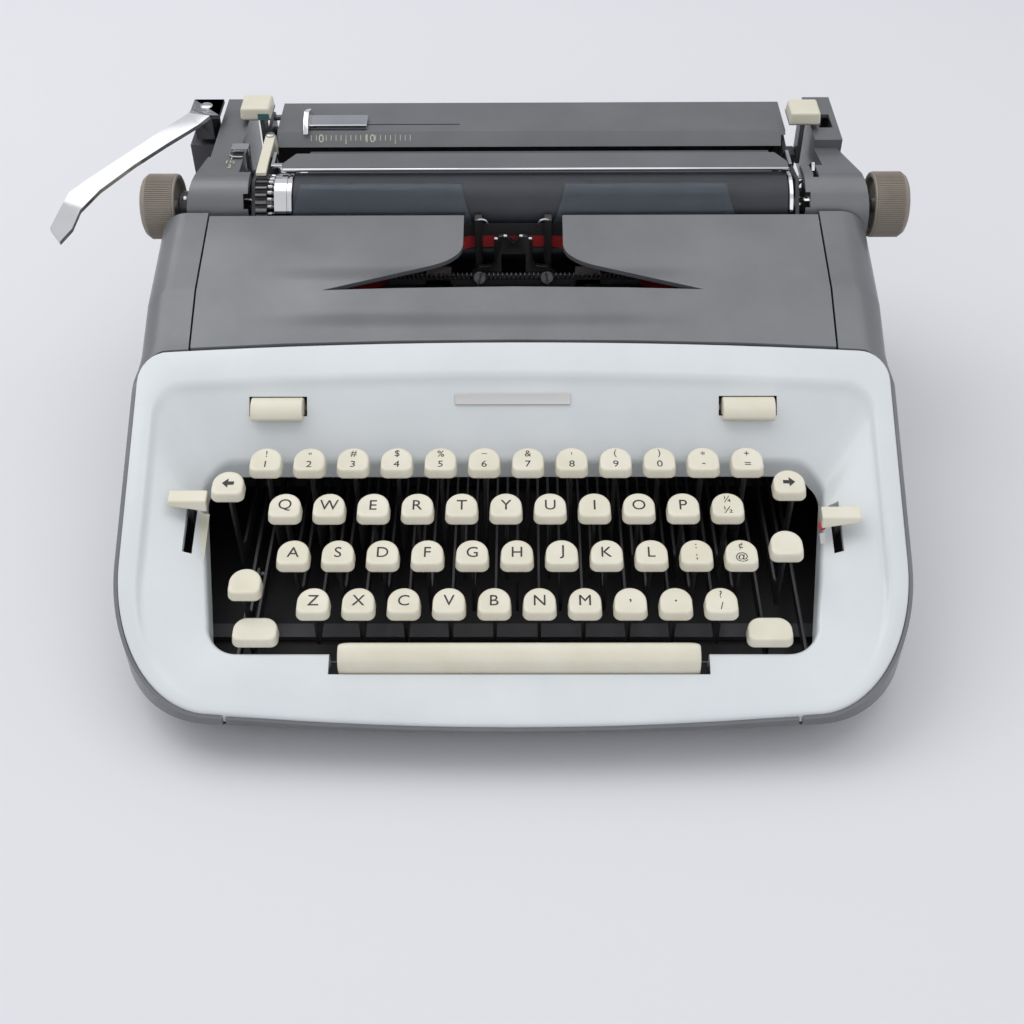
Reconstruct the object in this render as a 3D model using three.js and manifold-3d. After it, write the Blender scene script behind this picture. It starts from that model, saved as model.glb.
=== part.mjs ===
import * as THREE from 'three';
import { mergeVertices } from 'three/addons/utils/BufferGeometryUtils.js';
import Module from 'manifold-3d';

// Manual typewriter with a hinged ribbon cover.
// Millimetres, +Z up, the keyboard faces -Y. Places are given from the table top, the machine's
// middle plane and the centre line of the first key row.

const wasm = await Module();
wasm.setup();

// fits and walls
const gap = 0.3;
const running_gap = 0.6;
const overrun = 5;
const weld = 0.0001;
const shell_wall = 2.2;
const sheet = 1.6;

// key grid, which sets the width and depth of the keyboard
const key_pitch = 19.05;
const row_pitch = 19.05;
const columns_count = 11;
const keyboard_offset = 2.7;
const levers_per_pitch_count = 4;
const row_count = 4;
const row_drop = 9.5;
const first_key_x = -(key_pitch * columns_count) / 2 - keyboard_offset;
const first_row_top_z = 82;
const front_row_y = -row_pitch * (row_count - 1);

// casing
const well_margin = 31.03;
const bowl_margin = 32.5;
const well_half_width = -first_key_x + well_margin;
const body_half_width = well_half_width + bowl_margin;
const ledge_width = 2;
const front_ledge = 1.6;
const ledge_drop = 1.5;
const rim_front_margin = 43.65;
const rim_front_y = front_row_y - rim_front_margin;
const rim_front_z = 25.4;
const rim_rear_y = 55;
const rim_rear_z = 104.1;
const body_front_y = rim_front_y - front_ledge;
const body_rear_y = 212;
const body_bottom_z = 8;
const tuck_depth = 12.5;
const tuck_top_z = 21.6;
const front_corner_x = 44;
const front_corner_y = 58;
const front_bow = 4.8;
const rear_corner = 16;
const rear_bow = 4;
const crease_y = 80;
const crease_z = 114.8;
const roof_rear_y = 128;
const roof_rear_z = 125;
const shoulder_rear_y = 129.5;
const shoulder_radius = 14;
const crown_start_y = 34;
const crown_end_y = 58;
const deck_z = 86;
const strip_margin = 51;
const seam_gap = 1.5;
const strip_half_width = body_half_width - strip_margin;
const trench_margin = 15;
const trench_half_width = body_half_width - trench_margin;
const trench_front_y = 100;
const pan_floor = 1.6;
const pan_wall_top_z = 16;
const foot_radius = 9;
const foot_inset_x = 33;
const foot_inset_y = 44.6;

// keyboard bezel
const bezel_wall = 2.2;
const skirt_depth = 7;
const rim_width = 8;
const rim_rear_width = 14.3;
const rim_front_width = 2.4;
const chamfer_width = 2.4;
const chamfer_rear_width = 2.3;
const chamfer_front_width = 4;
const chamfer_drop = 3;
const bezel_corner = 13;
const well_taper = 9;
const well_rear_y = 10;
const well_rear_z = 63;
const well_front_margin = 14.65;
const well_front_y = front_row_y - well_front_margin;
const well_front_z = 37.1;
const well_corner = 13;
const flange_depth = 8;
const flange_draft = 1;
const notch_gap = 0.7;
const notch_side_gap = 4.1;

// ribbon cover
const shoulder_width = 25;
const cover_half_width = body_half_width - shoulder_width;
const cover_gap = 0.9;
const cover_wall = 2.2;
const cover_rear_y = 127.4;
const cover_skirt = 6;
const cover_hinge_y = 125.4;
const cover_hinge_z = 121.2;
const cover_pin_radius = 1.2;
const cover_ear = 5;
const finger_half_gap = 23.6;
const finger_bend_y = 105;
const opening_shoulder_x = 35;
const opening_shoulder_y = 96;
const opening_half_width = 88;
const opening_tip_y = 80;
const opening_front_y = 82;

// keys and levers
const lever_sheet = 1.6;
const lever_height = 8;
const lever_bottom_z = 26;
const fulcrum_y = 135;
const fulcrum_z = 30;
const fulcrum_radius = 2.5;
const hub_radius = 5.5;
const hub_side = 1.5;
const hub_side_count = 8;
const cap_width = 14.4;
const cap_depth = 14;
const cap_height = 5.4;
const cap_corner = 1.6;
const cap_side_count = 5;
const stem_depth = 6;
const shift_cap_width = 19.5;
const shift_cap_depth = 12.4;
const shift_cap_top_z = 43.5;
const shift_margin = 7;
const shift_cap_y = front_row_y - shift_margin;
const shift_inset = 30;
const shift_left_x = -well_half_width + shift_inset;
const shift_right_x = well_half_width - shift_inset;
const shift_lever_shift = 2.4;
const shift_left_lever_x = shift_left_x - shift_lever_shift;
const shift_right_lever_x = shift_right_x - gap;
const lock_shift = 4.4;
const lock_x = shift_left_x - lock_shift;
const lock_margin = 7.65;
const lock_y = front_row_y + lock_margin;
const lock_top_z = 57.3;
const lock_lever_shift = 3.5;
const lock_lever_x = shift_left_lever_x - lock_lever_shift;
const lock_arm = 29.5;
const lock_pivot_y = lock_y + lock_arm;
const lock_pin_radius = 1.5;
const backspace_inset = 15.3;
const backspace_x = -well_half_width + backspace_inset;
const backspace_y = -10;
const backspace_top_z = 77.3;
const tab_inset = 18.9;
const tab_x = well_half_width - tab_inset;
const tab_lever_shift = 2.4;
const tab_lever_x = tab_x + tab_lever_shift;
const tab_y = -9.5;
const tab_top_z = 77.2;
const release_inset = 21.8;
const release_x = well_half_width - release_inset;
const release_y = -row_pitch * 1.8;
const release_top_z = 64.8;
const bar_half_width = key_pitch * 3.979;
const bar_middle_x = 2.9;
const bar_left_x = bar_middle_x - bar_half_width;
const bar_right_x = bar_half_width + bar_middle_x;
const bar_margin = 13.75;
const bar_depth = 9.3;
const bar_rear_y = front_row_y - bar_margin;
const bar_front_y = bar_rear_y - bar_depth;
const bar_top_z = 43.3;
const bar_height = 12;
const bar_bevel = 1.6;
const bail_rod_radius = 2;
const bail_rod_inset = 5.1;
const bail_rod_y = bar_rear_y - bail_rod_inset;
const bail_rod_z = 24;
const bar_arm_gap = 7;
const bar_arm_gap_right = 4.5;
const bar_arm_left_x = shift_left_lever_x - bar_arm_gap;
const bar_arm_right_x = tab_lever_x + bar_arm_gap_right;
const bar_lug_inset = 14;
const bar_lug_width = 4;

// rocker keys in the back panel of the bezel
const rocker_inset = 33;
const rocker_left_x = -well_half_width + rocker_inset;
const rocker_right_x = well_half_width - rocker_inset;
const rocker_width = 23.6;
const rocker_slot_y = 31.5;
const rocker_slot_height = 8.8;
const rocker_slot_width = 26;
const rocker_pin_radius = 1.5;
const rocker_pin_depth = 7;
const rocker_reach = 7;
const rocker_proud = 7;
const rocker_ear = 3;

// side levers in the bowl
const side_slot_margin = 3.1;
const side_slot_x = well_half_width + side_slot_margin;
const side_slot_width = 4;
const side_slot_front_y = -29.5;
const side_slot_rear_y = -6.5;
const side_pivot_y = -8.3;
const side_pivot_z = 21.2;
const side_lever_length = 46;
const side_knob_width = 17;
const side_knob_depth = 9;
const side_knob_height = 6.4;
const side_pin_radius = 2;
const touch_angle_deg = -4;
const selector_angle_deg = -15.5;

// main frame
const frame_margin = 21;
const frame_x = body_half_width - frame_margin;
const frame_wall = 2.5;
const frame_front_margin = 12.85;
const frame_front_y = front_row_y - frame_front_margin;
const frame_rear_y = 203;
const frame_step = 28;
const frame_top_z = 79.7;
const frame_mid_y = 92;
const frame_mid_z = 104;
const strap_height = 2.6;
const strap_depth = 8;
const bridge_y = 118;
const bridge_wall = 3;
const bridge_top_z = 95.5;
const bridge_bottom_z = 46;
const bridge_arch = 50;
const cross_bar_y = 60;
const rear_plate_y = 199;
const rear_plate_wall = 2.5;
const spool_table_z = 84;
const spool_table_front_y = 66;
const spool_table_inner_x = 68;
const bridge_half_width = 60;

// ribbon gear
const spool_x = 98;
const spool_y = 91;
const spool_radius = 22;
const spool_core_radius = 17;
const spool_bottom_z = 87.8;
const spool_height = 17;
const spool_flange = 1.2;
const spindle_radius = 2.5;
const ribbon_width = 13.4;
const ribbon_thickness = 0.5;
const ribbon_y = 129.3;
const ribbon_bottom_z = 105.6;
const ribbon_bend_x = 22;
const vibrator_y = 127.2;
const vibrator_wall = 1.2;
const vibrator_half_width = 18.6;
const vibrator_arm = 3.6;
const vibrator_top_z = 123;
const vibrator_bottom_z = 87;
const guide_y = 122;
const guide_wall = 3.4;
const guide_half_width = 17.4;
const guide_top_z = 114.6;
const guide_bottom_z = 86;
const guide_window_half = 9.4;
const guide_window_bottom_z = 94.5;
const guide_window_top_z = 108;
const holder_gap = 1.8;
const holder_wall = 1;
const holder_inner_x = 19;
const holder_outer_x = 109;
const holder_taper = 7;
const holder_top_deg = 66;
const holder_bottom_z = 92;
const holder_foot_x = 62;
const holder_foot_width = 14;
const holder_foot_wall = 1.5;

// type segment
const typebar_count = 44;
const typebar_spread_deg = 78;
const typebar_width = 1.4;
const typebar_depth = 2.4;
const segment_z = 103;
const segment_side_count = 16;
const segment_y = 110;
const segment_wall = 6;
const segment_inner = 30;
const segment_outer = 42;
const head_radius = 57;
const head_y = 90;
const head_size = 3.4;
const comb_y = 104.6;
const comb_depth = 3;
const comb_top_z = 105.7;
const comb_height = 5;
const comb_half_width = 60;
const comb_tooth_count = 28;
const comb_tooth_height = 1.6;

// carriage
const plate_left_x = -128;
const plate_right_x = 137.5;
const platen_y = 149;
const platen_z = 117;
const platen_radius = 16;
const platen_left_inset = 20.7;
const platen_left_x = plate_left_x + platen_left_inset;
const platen_right_inset = 4.3;
const platen_right_x = plate_right_x - platen_right_inset;
const platen_cap_width = 9.6;
const shaft_radius = 4;
const collar_radius = 7.5;
const knob_radius = 15.9;
const knob_rib = 0.5;
const knob_rib_count = 22;
const knob_width = 17.6;
const knob_wall = 3;
const end_left_reach = 30.5;
const end_left_x = plate_left_x - end_left_reach;
const end_right_reach = 34.5;
const end_right_x = plate_right_x + end_right_reach;
const knob_left_reach = 23.9;
const knob_left_x = end_left_x - knob_left_reach;
const knob_right_reach = 20.8;
const knob_right_x = end_right_x + knob_right_reach;
const end_front_y = 131.5;
const end_radius = 17.5;
const end_bottom_z = 90;
const end_top_z = 134.5;
const end_left_step_y = 168;
const end_right_step_y = 184;
const end_rear_y = 229;
const end_left_flare = 6.5;
const end_right_flare = 8.5;
const end_left_drop = 1;
const end_right_drop = 6;
const neck_left_reach = 6.2;
const neck_left_x = plate_left_x - neck_left_reach;
const neck_left_y = 152;
const neck_right_y = 160;
const end_wall = 2;
const block_top_z = 133;
const block_left_reach = 23;
const block_left_x = plate_left_x - block_left_reach;
const block_left_inner_reach = 9;
const block_left_inner_x = plate_left_x - block_left_inner_reach;
const end_left_gap = 0.4;
const end_left_inner_x = plate_left_x - end_left_gap;
const block_right_reach = 28.5;
const block_right_x = plate_right_x + block_right_reach;
const block_inner_reach = 14.5;
const block_right_inner_x = plate_right_x + block_inner_reach;
const end_inner_reach = 3.5;
const end_right_inner_x = plate_right_x + end_inner_reach;
const plate_wall = 1.8;
const truck_front_y = 155;
const truck_rear_y = 195;
const truck_bottom_z = 96;
const truck_wall = 3;
const truck_lip = 7.5;
const truck_lip_wall = 2.7;
const truck_left_reach = 19;
const truck_left_x = plate_left_x - truck_left_reach;
const truck_right_reach = 20.5;
const truck_right_x = plate_right_x + truck_right_reach;
const rail_height = 15.7;
const rail_wall = 4;
const rail_margin = 18;
const rail_half_length = body_half_width - rail_margin;
const post_left_reach = 40;
const post_left_x = plate_left_x - post_left_reach;
const post_right_reach = 24.2;
const post_right_x = plate_left_x - post_right_reach;
const post_front_y = 199;
const post_rear_y = 215;
const post_top_z = 123;
const tie_y = 217;
const tie_depth = 4;
const tie_bottom_z = 100;
const tie_top_z = 121.5;
const wheel_inset = 2.6;
const wheel_x = plate_left_x + wheel_inset;
const wheel_width = 5.6;
const wheel_radius = 15.5;
const wheel_tooth = 1.4;
const wheel_tooth_count = 24;
const feed_radius = 6;
const feed_y = 143;
const feed_inset = 11.3;
const feed_left_x = platen_left_x + feed_inset;
const feed_right_x = platen_right_x - feed_inset;
const feed_shaft_radius = 2.5;
const pan_gap = 1.7;
const pan_wall = 1.1;
const pan_low_deg = -68;
const pan_tab_deg = -34;
const pan_high_deg = 38;
const pan_lip_y = 189;
const pan_lip_z = 124.4;
const pan_end_gap = 3;
const table_left_inset = 6.5;
const table_left_x = plate_left_x + table_left_inset;
const table_right_reach = 1.6;
const table_right_x = plate_right_x + table_right_reach;
const table_front_y = 191.5;
const table_fold_y = 197;
const table_rear_y = 228;
const table_top_z = 131.5;
const table_lip_z = 125.5;
const table_wall = 1.8;
const table_hinge_y = 222;
const table_hinge_z = 126;
const table_pin_radius = 1.5;
const guide_slider_inset = 16;
const guide_slider_x = table_left_x + guide_slider_inset;
const guide_slider_width = 30;
const guide_slider_y = 198.5;
const guide_slider_depth = 11;
const guide_slider_height = 2.4;
const guide_fin_width = 9;
const guide_fin_height = 7;
const bail_front_y = 152.5;
const bail_rear_y = 167.5;
const bail_bottom_z = 133.8;
const bail_wall = 1.8;
const bail_overlap = 5.9;
const bail_left_x = platen_left_x - bail_overlap;
const bail_right_overlap = 1.2;
const bail_right_x = platen_right_x + bail_right_overlap;
const bail_arm_reach = 5.8;
const bail_arm_left_x = bail_left_x - bail_arm_reach;
const bail_arm_gap = 0.2;
const bail_arm_right_x = bail_right_x + bail_arm_gap;
const bail_pivot_y = 182;
const bail_pivot_z = 114;
const bail_pin_radius = 1.8;
const detent_inset = 2.4;
const detent_left_x = plate_left_x + detent_inset;
const detent_width = 4.8;
const detent_tip_y = 150;
const detent_tip_z = 133.4;
const detent_pivot_y = 187;
const detent_pivot_z = 125;
const selector_reach = 5.4;
const selector_x = plate_left_x - selector_reach;
const selector_tip_y = 172;
const selector_tip_z = 136.4;
const selector_pivot_y = 168;
const selector_pivot_z = 108;
const selector_handle = 8.5;
const paper_release_reach = 8.5;
const paper_release_x = plate_right_x + paper_release_reach;
const paper_release_tip_y = 156;
const paper_release_tip_z = 134;
const paper_release_pivot_y = 186;
const paper_release_pivot_z = 108;
const margin_width = 16;
const margin_depth = 16.5;
const margin_height = 6.4;
const margin_bottom_z = 135.8;
const margin_travel = 2.2;
const margin_left_reach = 4.5;
const margin_left_x = plate_left_x - margin_left_reach;
const margin_left_y = 209;
const margin_right_reach = 10.5;
const margin_right_x = plate_right_x + margin_right_reach;
const margin_right_y = 202;
const margin_stem_depth = 9;
const margin_stem_wall = 2.4;
const margin_stem_bottom_z = 112;
const return_pivot_inset = 6.3;
const return_pivot_x = post_right_x - return_pivot_inset;
const return_pivot_y = 208.5;
const return_pin_radius = 2.6;
const return_thickness = 2;
const return_wall_reach = 3.5;
const return_boss_radius = 6;
const return_hub_z = 137.2;
const return_hub_width = 15.5;
const return_hub_front = 8.5;
const return_hub_wall = 11.5;
const return_reach = 100;
const round_side_count = 16;
const bore_side_count = 10;
const platen_side_count = 26;

// finishes
function finish(hex, roughness, metalness = 0) {
  return new THREE.MeshStandardMaterial({ color: hex, roughness, metalness });
}
const grey_paint = finish(0x74777b, 0.5);
const white_paint = finish(0xdde3e6, 0.4);
const cream_plastic = finish(0xe9e2c9, 0.45);
const taupe_plastic = finish(0x877b72, 0.6);
const dark_metal = finish(0x1d1f22, 0.5, 0.6);
const chrome = finish(0xc9ccd0, 0.15, 1);
const steel = finish(0x8d9094, 0.35, 1);
const platen_rubber = finish(0x1b2029, 0.7);
const foot_rubber = finish(0x222222, 0.9);
const ribbon_cloth = finish(0x7a1418, 0.9);
const clear_plastic = finish(0x4a5560, 0.1);

// Solids and geometry
function toSolid(geometry) {
  const bare = geometry.index ? geometry.toNonIndexed() : geometry.clone();
  bare.deleteAttribute('normal');
  bare.deleteAttribute('uv');
  const merged = mergeVertices(bare, weld);
  const mesh = new wasm.Mesh({
    numProp: 3,
    vertProperties: Float32Array.from(merged.attributes.position.array),
    triVerts: Uint32Array.from(merged.index.array),
  });
  return new wasm.Manifold(mesh);
}

function toGeometry(solid) {
  const mesh = solid.getMesh();
  const shared = new THREE.BufferGeometry();
  shared.setAttribute('position', new THREE.BufferAttribute(Float32Array.from(mesh.vertProperties), 3));
  shared.setIndex(new THREE.BufferAttribute(Uint32Array.from(mesh.triVerts), 1));
  const flat = shared.toNonIndexed();
  flat.computeVertexNormals();
  return flat;
}

function join(...solids) {
  return solids.reduce((whole, next) => whole.add(next));
}

function cut(solid, ...tools) {
  return tools.reduce((left, tool) => left.subtract(tool), solid);
}

function extrude(outline, depth) {
  const shape = new THREE.Shape(outline.map(([x, y]) => new THREE.Vector2(x, y)));
  return new THREE.ExtrudeGeometry(shape, { depth, bevelEnabled: false, curveSegments: 1 });
}

// An outline in Y and Z, drawn out along X.
function alongX(outline, x0, x1) {
  const turn = new THREE.Matrix4().set(0, 0, 1, x0, 1, 0, 0, 0, 0, 1, 0, 0, 0, 0, 0, 1);
  return toSolid(extrude(outline, x1 - x0).applyMatrix4(turn));
}

// An outline in X and Z, drawn out along Y.
function alongY(outline, y0, y1) {
  const turn = new THREE.Matrix4().set(1, 0, 0, 0, 0, 0, -1, y1, 0, 1, 0, 0, 0, 0, 0, 1);
  return toSolid(extrude(outline, y1 - y0).applyMatrix4(turn));
}

// An outline in X and Y, drawn up along Z.
function alongZ(outline, z0, z1) {
  return toSolid(extrude(outline, z1 - z0).translate(0, 0, z0));
}

function block(x0, x1, y0, y1, z0, z1) {
  return alongZ([[x0, y0], [x1, y0], [x1, y1], [x0, y1]], z0, z1);
}

function radians(degrees) {
  return THREE.MathUtils.degToRad(degrees);
}

// Points on an arc from one angle to another, the first axis being zero degrees.
function arc(a, b, radius, from_deg, to_deg, count) {
  return Array.from({ length: count + 1 }, (_, i) => {
    const turn = radians(from_deg + ((to_deg - from_deg) * i) / count);
    return [a + radius * Math.cos(turn), b + radius * Math.sin(turn)];
  });
}

function circle(a, b, radius, count = round_side_count) {
  return arc(a, b, radius, 0, 360, count).slice(0, count);
}

function rodX(x0, x1, y, z, radius, count) {
  return alongX(circle(y, z, radius, count), x0, x1);
}

// A flat strip between two points of the Y-Z plane, drawn out along X.
function strapX(x0, x1, ya, za, yb, zb, width) {
  const length = Math.hypot(yb - ya, zb - za);
  const ny = (-(zb - za) * width) / 2 / length;
  const nz = ((yb - ya) * width) / 2 / length;
  return alongX([[ya - ny, za - nz], [yb - ny, zb - nz], [yb + ny, zb + nz], [ya + ny, za + nz]], x0, x1);
}

// Pieces and the groups that they turn or slide in
const machine = new THREE.Group();

function placeOf(group) {
  group.updateWorldMatrix(true, false);
  return new THREE.Vector3().setFromMatrixPosition(group.matrixWorld);
}

function movingGroup(parent, name, x, y, z) {
  const group = new THREE.Group();
  group.name = name;
  parent.add(group);
  group.position.copy(new THREE.Vector3(x, y, z).sub(placeOf(parent)));
  return group;
}

function addPiece(parent, name, solid, material) {
  const geometry = solid instanceof THREE.BufferGeometry ? solid : toGeometry(solid);
  const mesh = new THREE.Mesh(geometry.translate(...placeOf(parent).negate()), material);
  mesh.name = name;
  parent.add(mesh);
}

// Casing forms
function rimZ(y) {
  return rim_rear_z + ((y - rim_rear_y) * (rim_rear_z - rim_front_z)) / (rim_rear_y - rim_front_y);
}

// A plan loop with rounded corners and bowed ends, starting at the middle of the front.
function planLoop({ half, front, rear, cornerX, cornerY, rearRadius, frontBow, rearBow, sideStations,
  taper = 0 }) {
  const front_steps_count = 3;
  const corner_steps_count = 6;
  const rear_steps_count = 3;
  const frontStart = half - taper - cornerX;
  const rearStart = half - rearRadius;
  const sideFront = front + frontBow + cornerY;
  const sideRear = rear - rearBow - rearRadius;
  const right = [];
  for (let i = 0; i < front_steps_count; i++) {
    const t = i / front_steps_count;
    right.push([frontStart * t, front + frontBow * t * t]);
  }
  for (let i = 0; i <= corner_steps_count; i++) {
    const turn = (Math.PI / 2) * (i / corner_steps_count);
    right.push([frontStart + cornerX * Math.sin(turn), sideFront - cornerY * Math.cos(turn)]);
  }
  sideStations(sideFront, sideRear).forEach((y) => {
    right.push([half - (taper * (sideRear - y)) / (sideRear - sideFront), y]);
  });
  for (let i = 0; i <= rear_steps_count; i++) {
    const turn = (Math.PI / 2) * (i / rear_steps_count);
    right.push([rearStart + rearRadius * Math.cos(turn), sideRear + rearRadius * Math.sin(turn)]);
  }
  for (let i = rear_steps_count - 1; i >= 0; i--) {
    const t = i / rear_steps_count;
    right.push([rearStart * t, rear - rearBow * t * t]);
  }
  const left = right.slice(1, -1).reverse().map(([x, y]) => [-x, y]);
  return right.concat(left);
}

function evenStations(from, to) {
  const side_steps_count = 5;
  return Array.from({ length: side_steps_count - 1 },
    (_, i) => from + ((to - from) * (i + 1)) / side_steps_count);
}

// The casing's side has its stations where the shoulder rises and the roof bends.
function casingStations() {
  const crown_steps_count = 3;
  const rising = Array.from({ length: crown_steps_count + 1 },
    (_, i) => crown_start_y + ((crown_end_y - crown_start_y) * i) / crown_steps_count);
  return [...rising, crease_y, roof_rear_y];
}

function casingLoop(inset) {
  return planLoop({
    half: body_half_width - inset,
    front: body_front_y + inset,
    rear: body_rear_y - inset,
    cornerX: front_corner_x + ledge_width - inset,
    cornerY: front_corner_y + front_ledge - inset,
    rearRadius: (rear_corner * rear_corner) / (rear_corner + inset),
    frontBow: front_bow,
    rearBow: 0,
    sideStations: casingStations,
  });
}

function bezelLoop(inset, rear = rim_rear_y, front = rim_front_y) {
  return planLoop({
    half: body_half_width - ledge_width - inset,
    front,
    rear,
    cornerX: front_corner_x - inset,
    cornerY: front_corner_y - inset,
    rearRadius: bezel_corner,
    frontBow: front_bow,
    rearBow: rear_bow,
    sideStations: evenStations,
  });
}

function wellLoop(inset) {
  return planLoop({
    half: well_half_width - inset,
    front: well_front_y + inset,
    rear: well_rear_y - inset,
    cornerX: well_corner - inset,
    cornerY: well_corner - inset,
    rearRadius: bezel_corner - inset,
    frontBow: 0,
    rearBow: 0,
    sideStations: evenStations,
    taper: well_taper,
  });
}

// A long prism with rounded top edges whose top follows a slope through two places.
function skirtZ(y) {
  return Math.max(rimZ(y) - skirt_depth, tuck_top_z + gap);
}

function roofZ(y) {
  const steep = (crease_z - rim_rear_z) / (crease_y - rim_rear_y);
  const gentle = (roof_rear_z - crease_z) / (roof_rear_y - crease_y);
  return crease_z + (y - crease_y) * (y < crease_y ? steep : gentle);
}

// How far the shoulder has risen from the ledge beside the keyboard to the roof.
function crown(y) {
  return THREE.MathUtils.smoothstep(y, crown_start_y, crown_end_y);
}

// A closed body lofted up through plan loops that share their stations, each with its own height.
function stackLoft(levels) {
  const rails = levels.map(([loop, height]) => loop.map(([x, y]) => [x, y, height(y)]));
  const stations = rails[0].length;
  const half = stations / 2;
  const top = (rails.length - 1) * stations;
  const index = [];
  for (let j = 0; j < rails.length - 1; j++) {
    index.push(...bandFaces(j * stations, (j + 1) * stations, stations));
  }
  const capFaces = (start, a, b, c) => [start + a, start + (start > 0 ? b : c), start + (start > 0 ? c : b)];
  [0, top].forEach((start) => {
    index.push(...capFaces(start, 0, 1, stations - 1), ...capFaces(start, half - 1, half, half + 1));
    for (let i = 1; i < half - 1; i++) {
      index.push(...capFaces(start, i, i + 1, stations - i - 1),
        ...capFaces(start, i, stations - i - 1, stations - i));
    }
  });
  return solidOf(rails.flat(2), index);
}

function bandFaces(below, above, stations) {
  const faces = [];
  for (let i = 0; i < stations; i++) {
    const next = (i + 1) % stations;
    faces.push(below + i, below + next, above + next, below + i, above + next, above + i);
  }
  return faces;
}

function solidOf(position, index) {
  const geometry = new THREE.BufferGeometry();
  geometry.setAttribute('position', new THREE.Float32BufferAttribute(position, 3));
  geometry.setIndex(index);
  return toSolid(geometry);
}

function casingHull(inset) {
  const arc_steps_count = inset > 0 ? 2 : 3;
  const topZ = (y) => THREE.MathUtils.lerp(rimZ(y) - ledge_drop, roofZ(y), crown(y)) - inset;
  const foot = casingLoop(tuck_depth + inset);
  const levels = [[foot, () => body_bottom_z], [casingLoop(inset), () => tuck_top_z - inset]];
  if (inset > 0) {
    levels.unshift([foot, () => body_bottom_z - overrun]);
  }
  for (let k = 0; k <= arc_steps_count; k++) {
    const turn = (Math.PI / 2) * (k / arc_steps_count);
    const drop = shoulder_radius * (1 - Math.sin(turn));
    levels.push([casingLoop(inset + shoulder_radius * (1 - Math.cos(turn))),
      (y) => topZ(y) - drop * crown(y)]);
  }
  const wide = body_half_width + overrun;
  const behind = block(-wide, wide, shoulder_rear_y - inset, body_rear_y * 2, deck_z - inset,
    roofZ(body_rear_y) + overrun);
  return stackLoft(levels).subtract(behind);
}

function bezelBay() {
  const loop = bezelLoop(-gap, rim_rear_y + gap, rim_front_y - gap);
  return stackLoft([[loop, (y) => skirtZ(y) - gap], [loop, () => roof_rear_z + overrun]]);
}

function bodyShell() {
  const shell = casingHull(0).subtract(casingHull(shell_wall));
  const high = roof_rear_z + overrun;
  const cover_side = cover_half_width + cover_gap;
  const coverBay = block(-cover_side, cover_side, crown_start_y, shoulder_rear_y + overrun, deck_z - gap,
    high);
  const trench = block(-trench_half_width, trench_half_width, trench_front_y,
    body_rear_y - shell_wall - overrun,
    frame_top_z, deck_z + gap);
  const stripGap = block(-strip_half_width, strip_half_width, body_front_y * 2, shift_cap_y,
    body_bottom_z - overrun, high);
  const ears = [-1, 1].map((side) => {
    const inner = side * (cover_side + gap);
    const outer = side * (cover_side + cover_ear);
    const z0 = cover_hinge_z - cover_pin_radius * 2;
    const ear = block(Math.min(inner, outer), Math.max(inner, outer), cover_hinge_y - cover_pin_radius * 2,
      shoulder_rear_y - shell_wall / 2, z0, roof_rear_z - shell_wall / 2);
    return ear.intersect(casingHull(shell_wall / 2));
  });
  const pin_reach = cover_side + cover_ear + gap;
  const bore = rodX(-pin_reach, pin_reach, cover_hinge_y, cover_hinge_z, cover_pin_radius + gap,
    bore_side_count);
  return join(cut(shell, bezelBay(), coverBay, trench, stripGap), ...ears).subtract(bore);
}

function basePan() {
  const inset = tuck_depth + shell_wall + gap;
  const floor = alongZ(casingLoop(inset), body_bottom_z, body_bottom_z + pan_floor);
  const wall = alongZ(casingLoop(inset), body_bottom_z, pan_wall_top_z)
    .subtract(alongZ(casingLoop(inset + pan_floor), body_bottom_z - overrun, pan_wall_top_z + overrun));
  const strip_wall = shell_wall + gap + pan_floor / 2;
  const strip_x = strip_half_width - seam_gap;
  const strip = cut(casingHull(0), casingHull(strip_wall), bezelBay())
    .intersect(block(-strip_x, strip_x, body_front_y * 2, shift_cap_y, 0, rim_front_z));
  return join(floor, wall, strip);
}

// Keyboard bezel: a ring lofted round the keyboard, from the skirt over the rim into the bowl and the well.
function wellZ(y) {
  return well_rear_z + ((y - well_rear_y) * (well_rear_z - well_front_z)) / (well_rear_y - well_front_y);
}

function chamferDrop(y) {
  const fade = THREE.MathUtils.clamp((y - rim_front_y) / front_corner_y, 0, 1);
  return chamfer_drop * fade;
}

function bezelRails() {
  const rimRear = rim_rear_y - rim_rear_width;
  const rimFront = rim_front_y + rim_front_width;
  const bowlRear = rimRear - chamfer_rear_width;
  const bowlFront = rimFront + chamfer_front_width;
  const bowlInset = rim_width + chamfer_width;
  const outside = [
    [bezelLoop(0), skirtZ],
    [bezelLoop(0), rimZ],
    [bezelLoop(rim_width, rimRear, rimFront), rimZ],
    [bezelLoop(bowlInset, bowlRear, bowlFront), (y) => rimZ(y) - chamferDrop(y)],
    [wellLoop(0), wellZ],
    [wellLoop(flange_draft), (y) => wellZ(y) - flange_depth],
  ];
  const inside = [
    [wellLoop(flange_draft - bezel_wall), (y) => wellZ(y) - flange_depth],
    [wellLoop(-bezel_wall), (y) => wellZ(y) - bezel_wall],
    [bezelLoop(bowlInset, bowlRear, bowlFront), (y) => rimZ(y) - chamferDrop(y) - bezel_wall],
    [bezelLoop(rim_width, rimRear, rimFront), (y) => rimZ(y) - bezel_wall],
    [bezelLoop(bezel_wall, rim_rear_y - bezel_wall, rim_front_y + bezel_wall), (y) => rimZ(y) - bezel_wall],
    [bezelLoop(bezel_wall, rim_rear_y - bezel_wall, rim_front_y + bezel_wall), skirtZ],
  ];
  return outside.concat(inside).map(([loop, height]) => loop.map(([x, y]) => [x, y, height(y)]));
}

function ringLoft(rails) {
  const stations = rails[0].length;
  const faces = rails.map((_, j) => bandFaces(j * stations, ((j + 1) % rails.length) * stations, stations));
  return solidOf(rails.flat(2), faces.flat());
}

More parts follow.
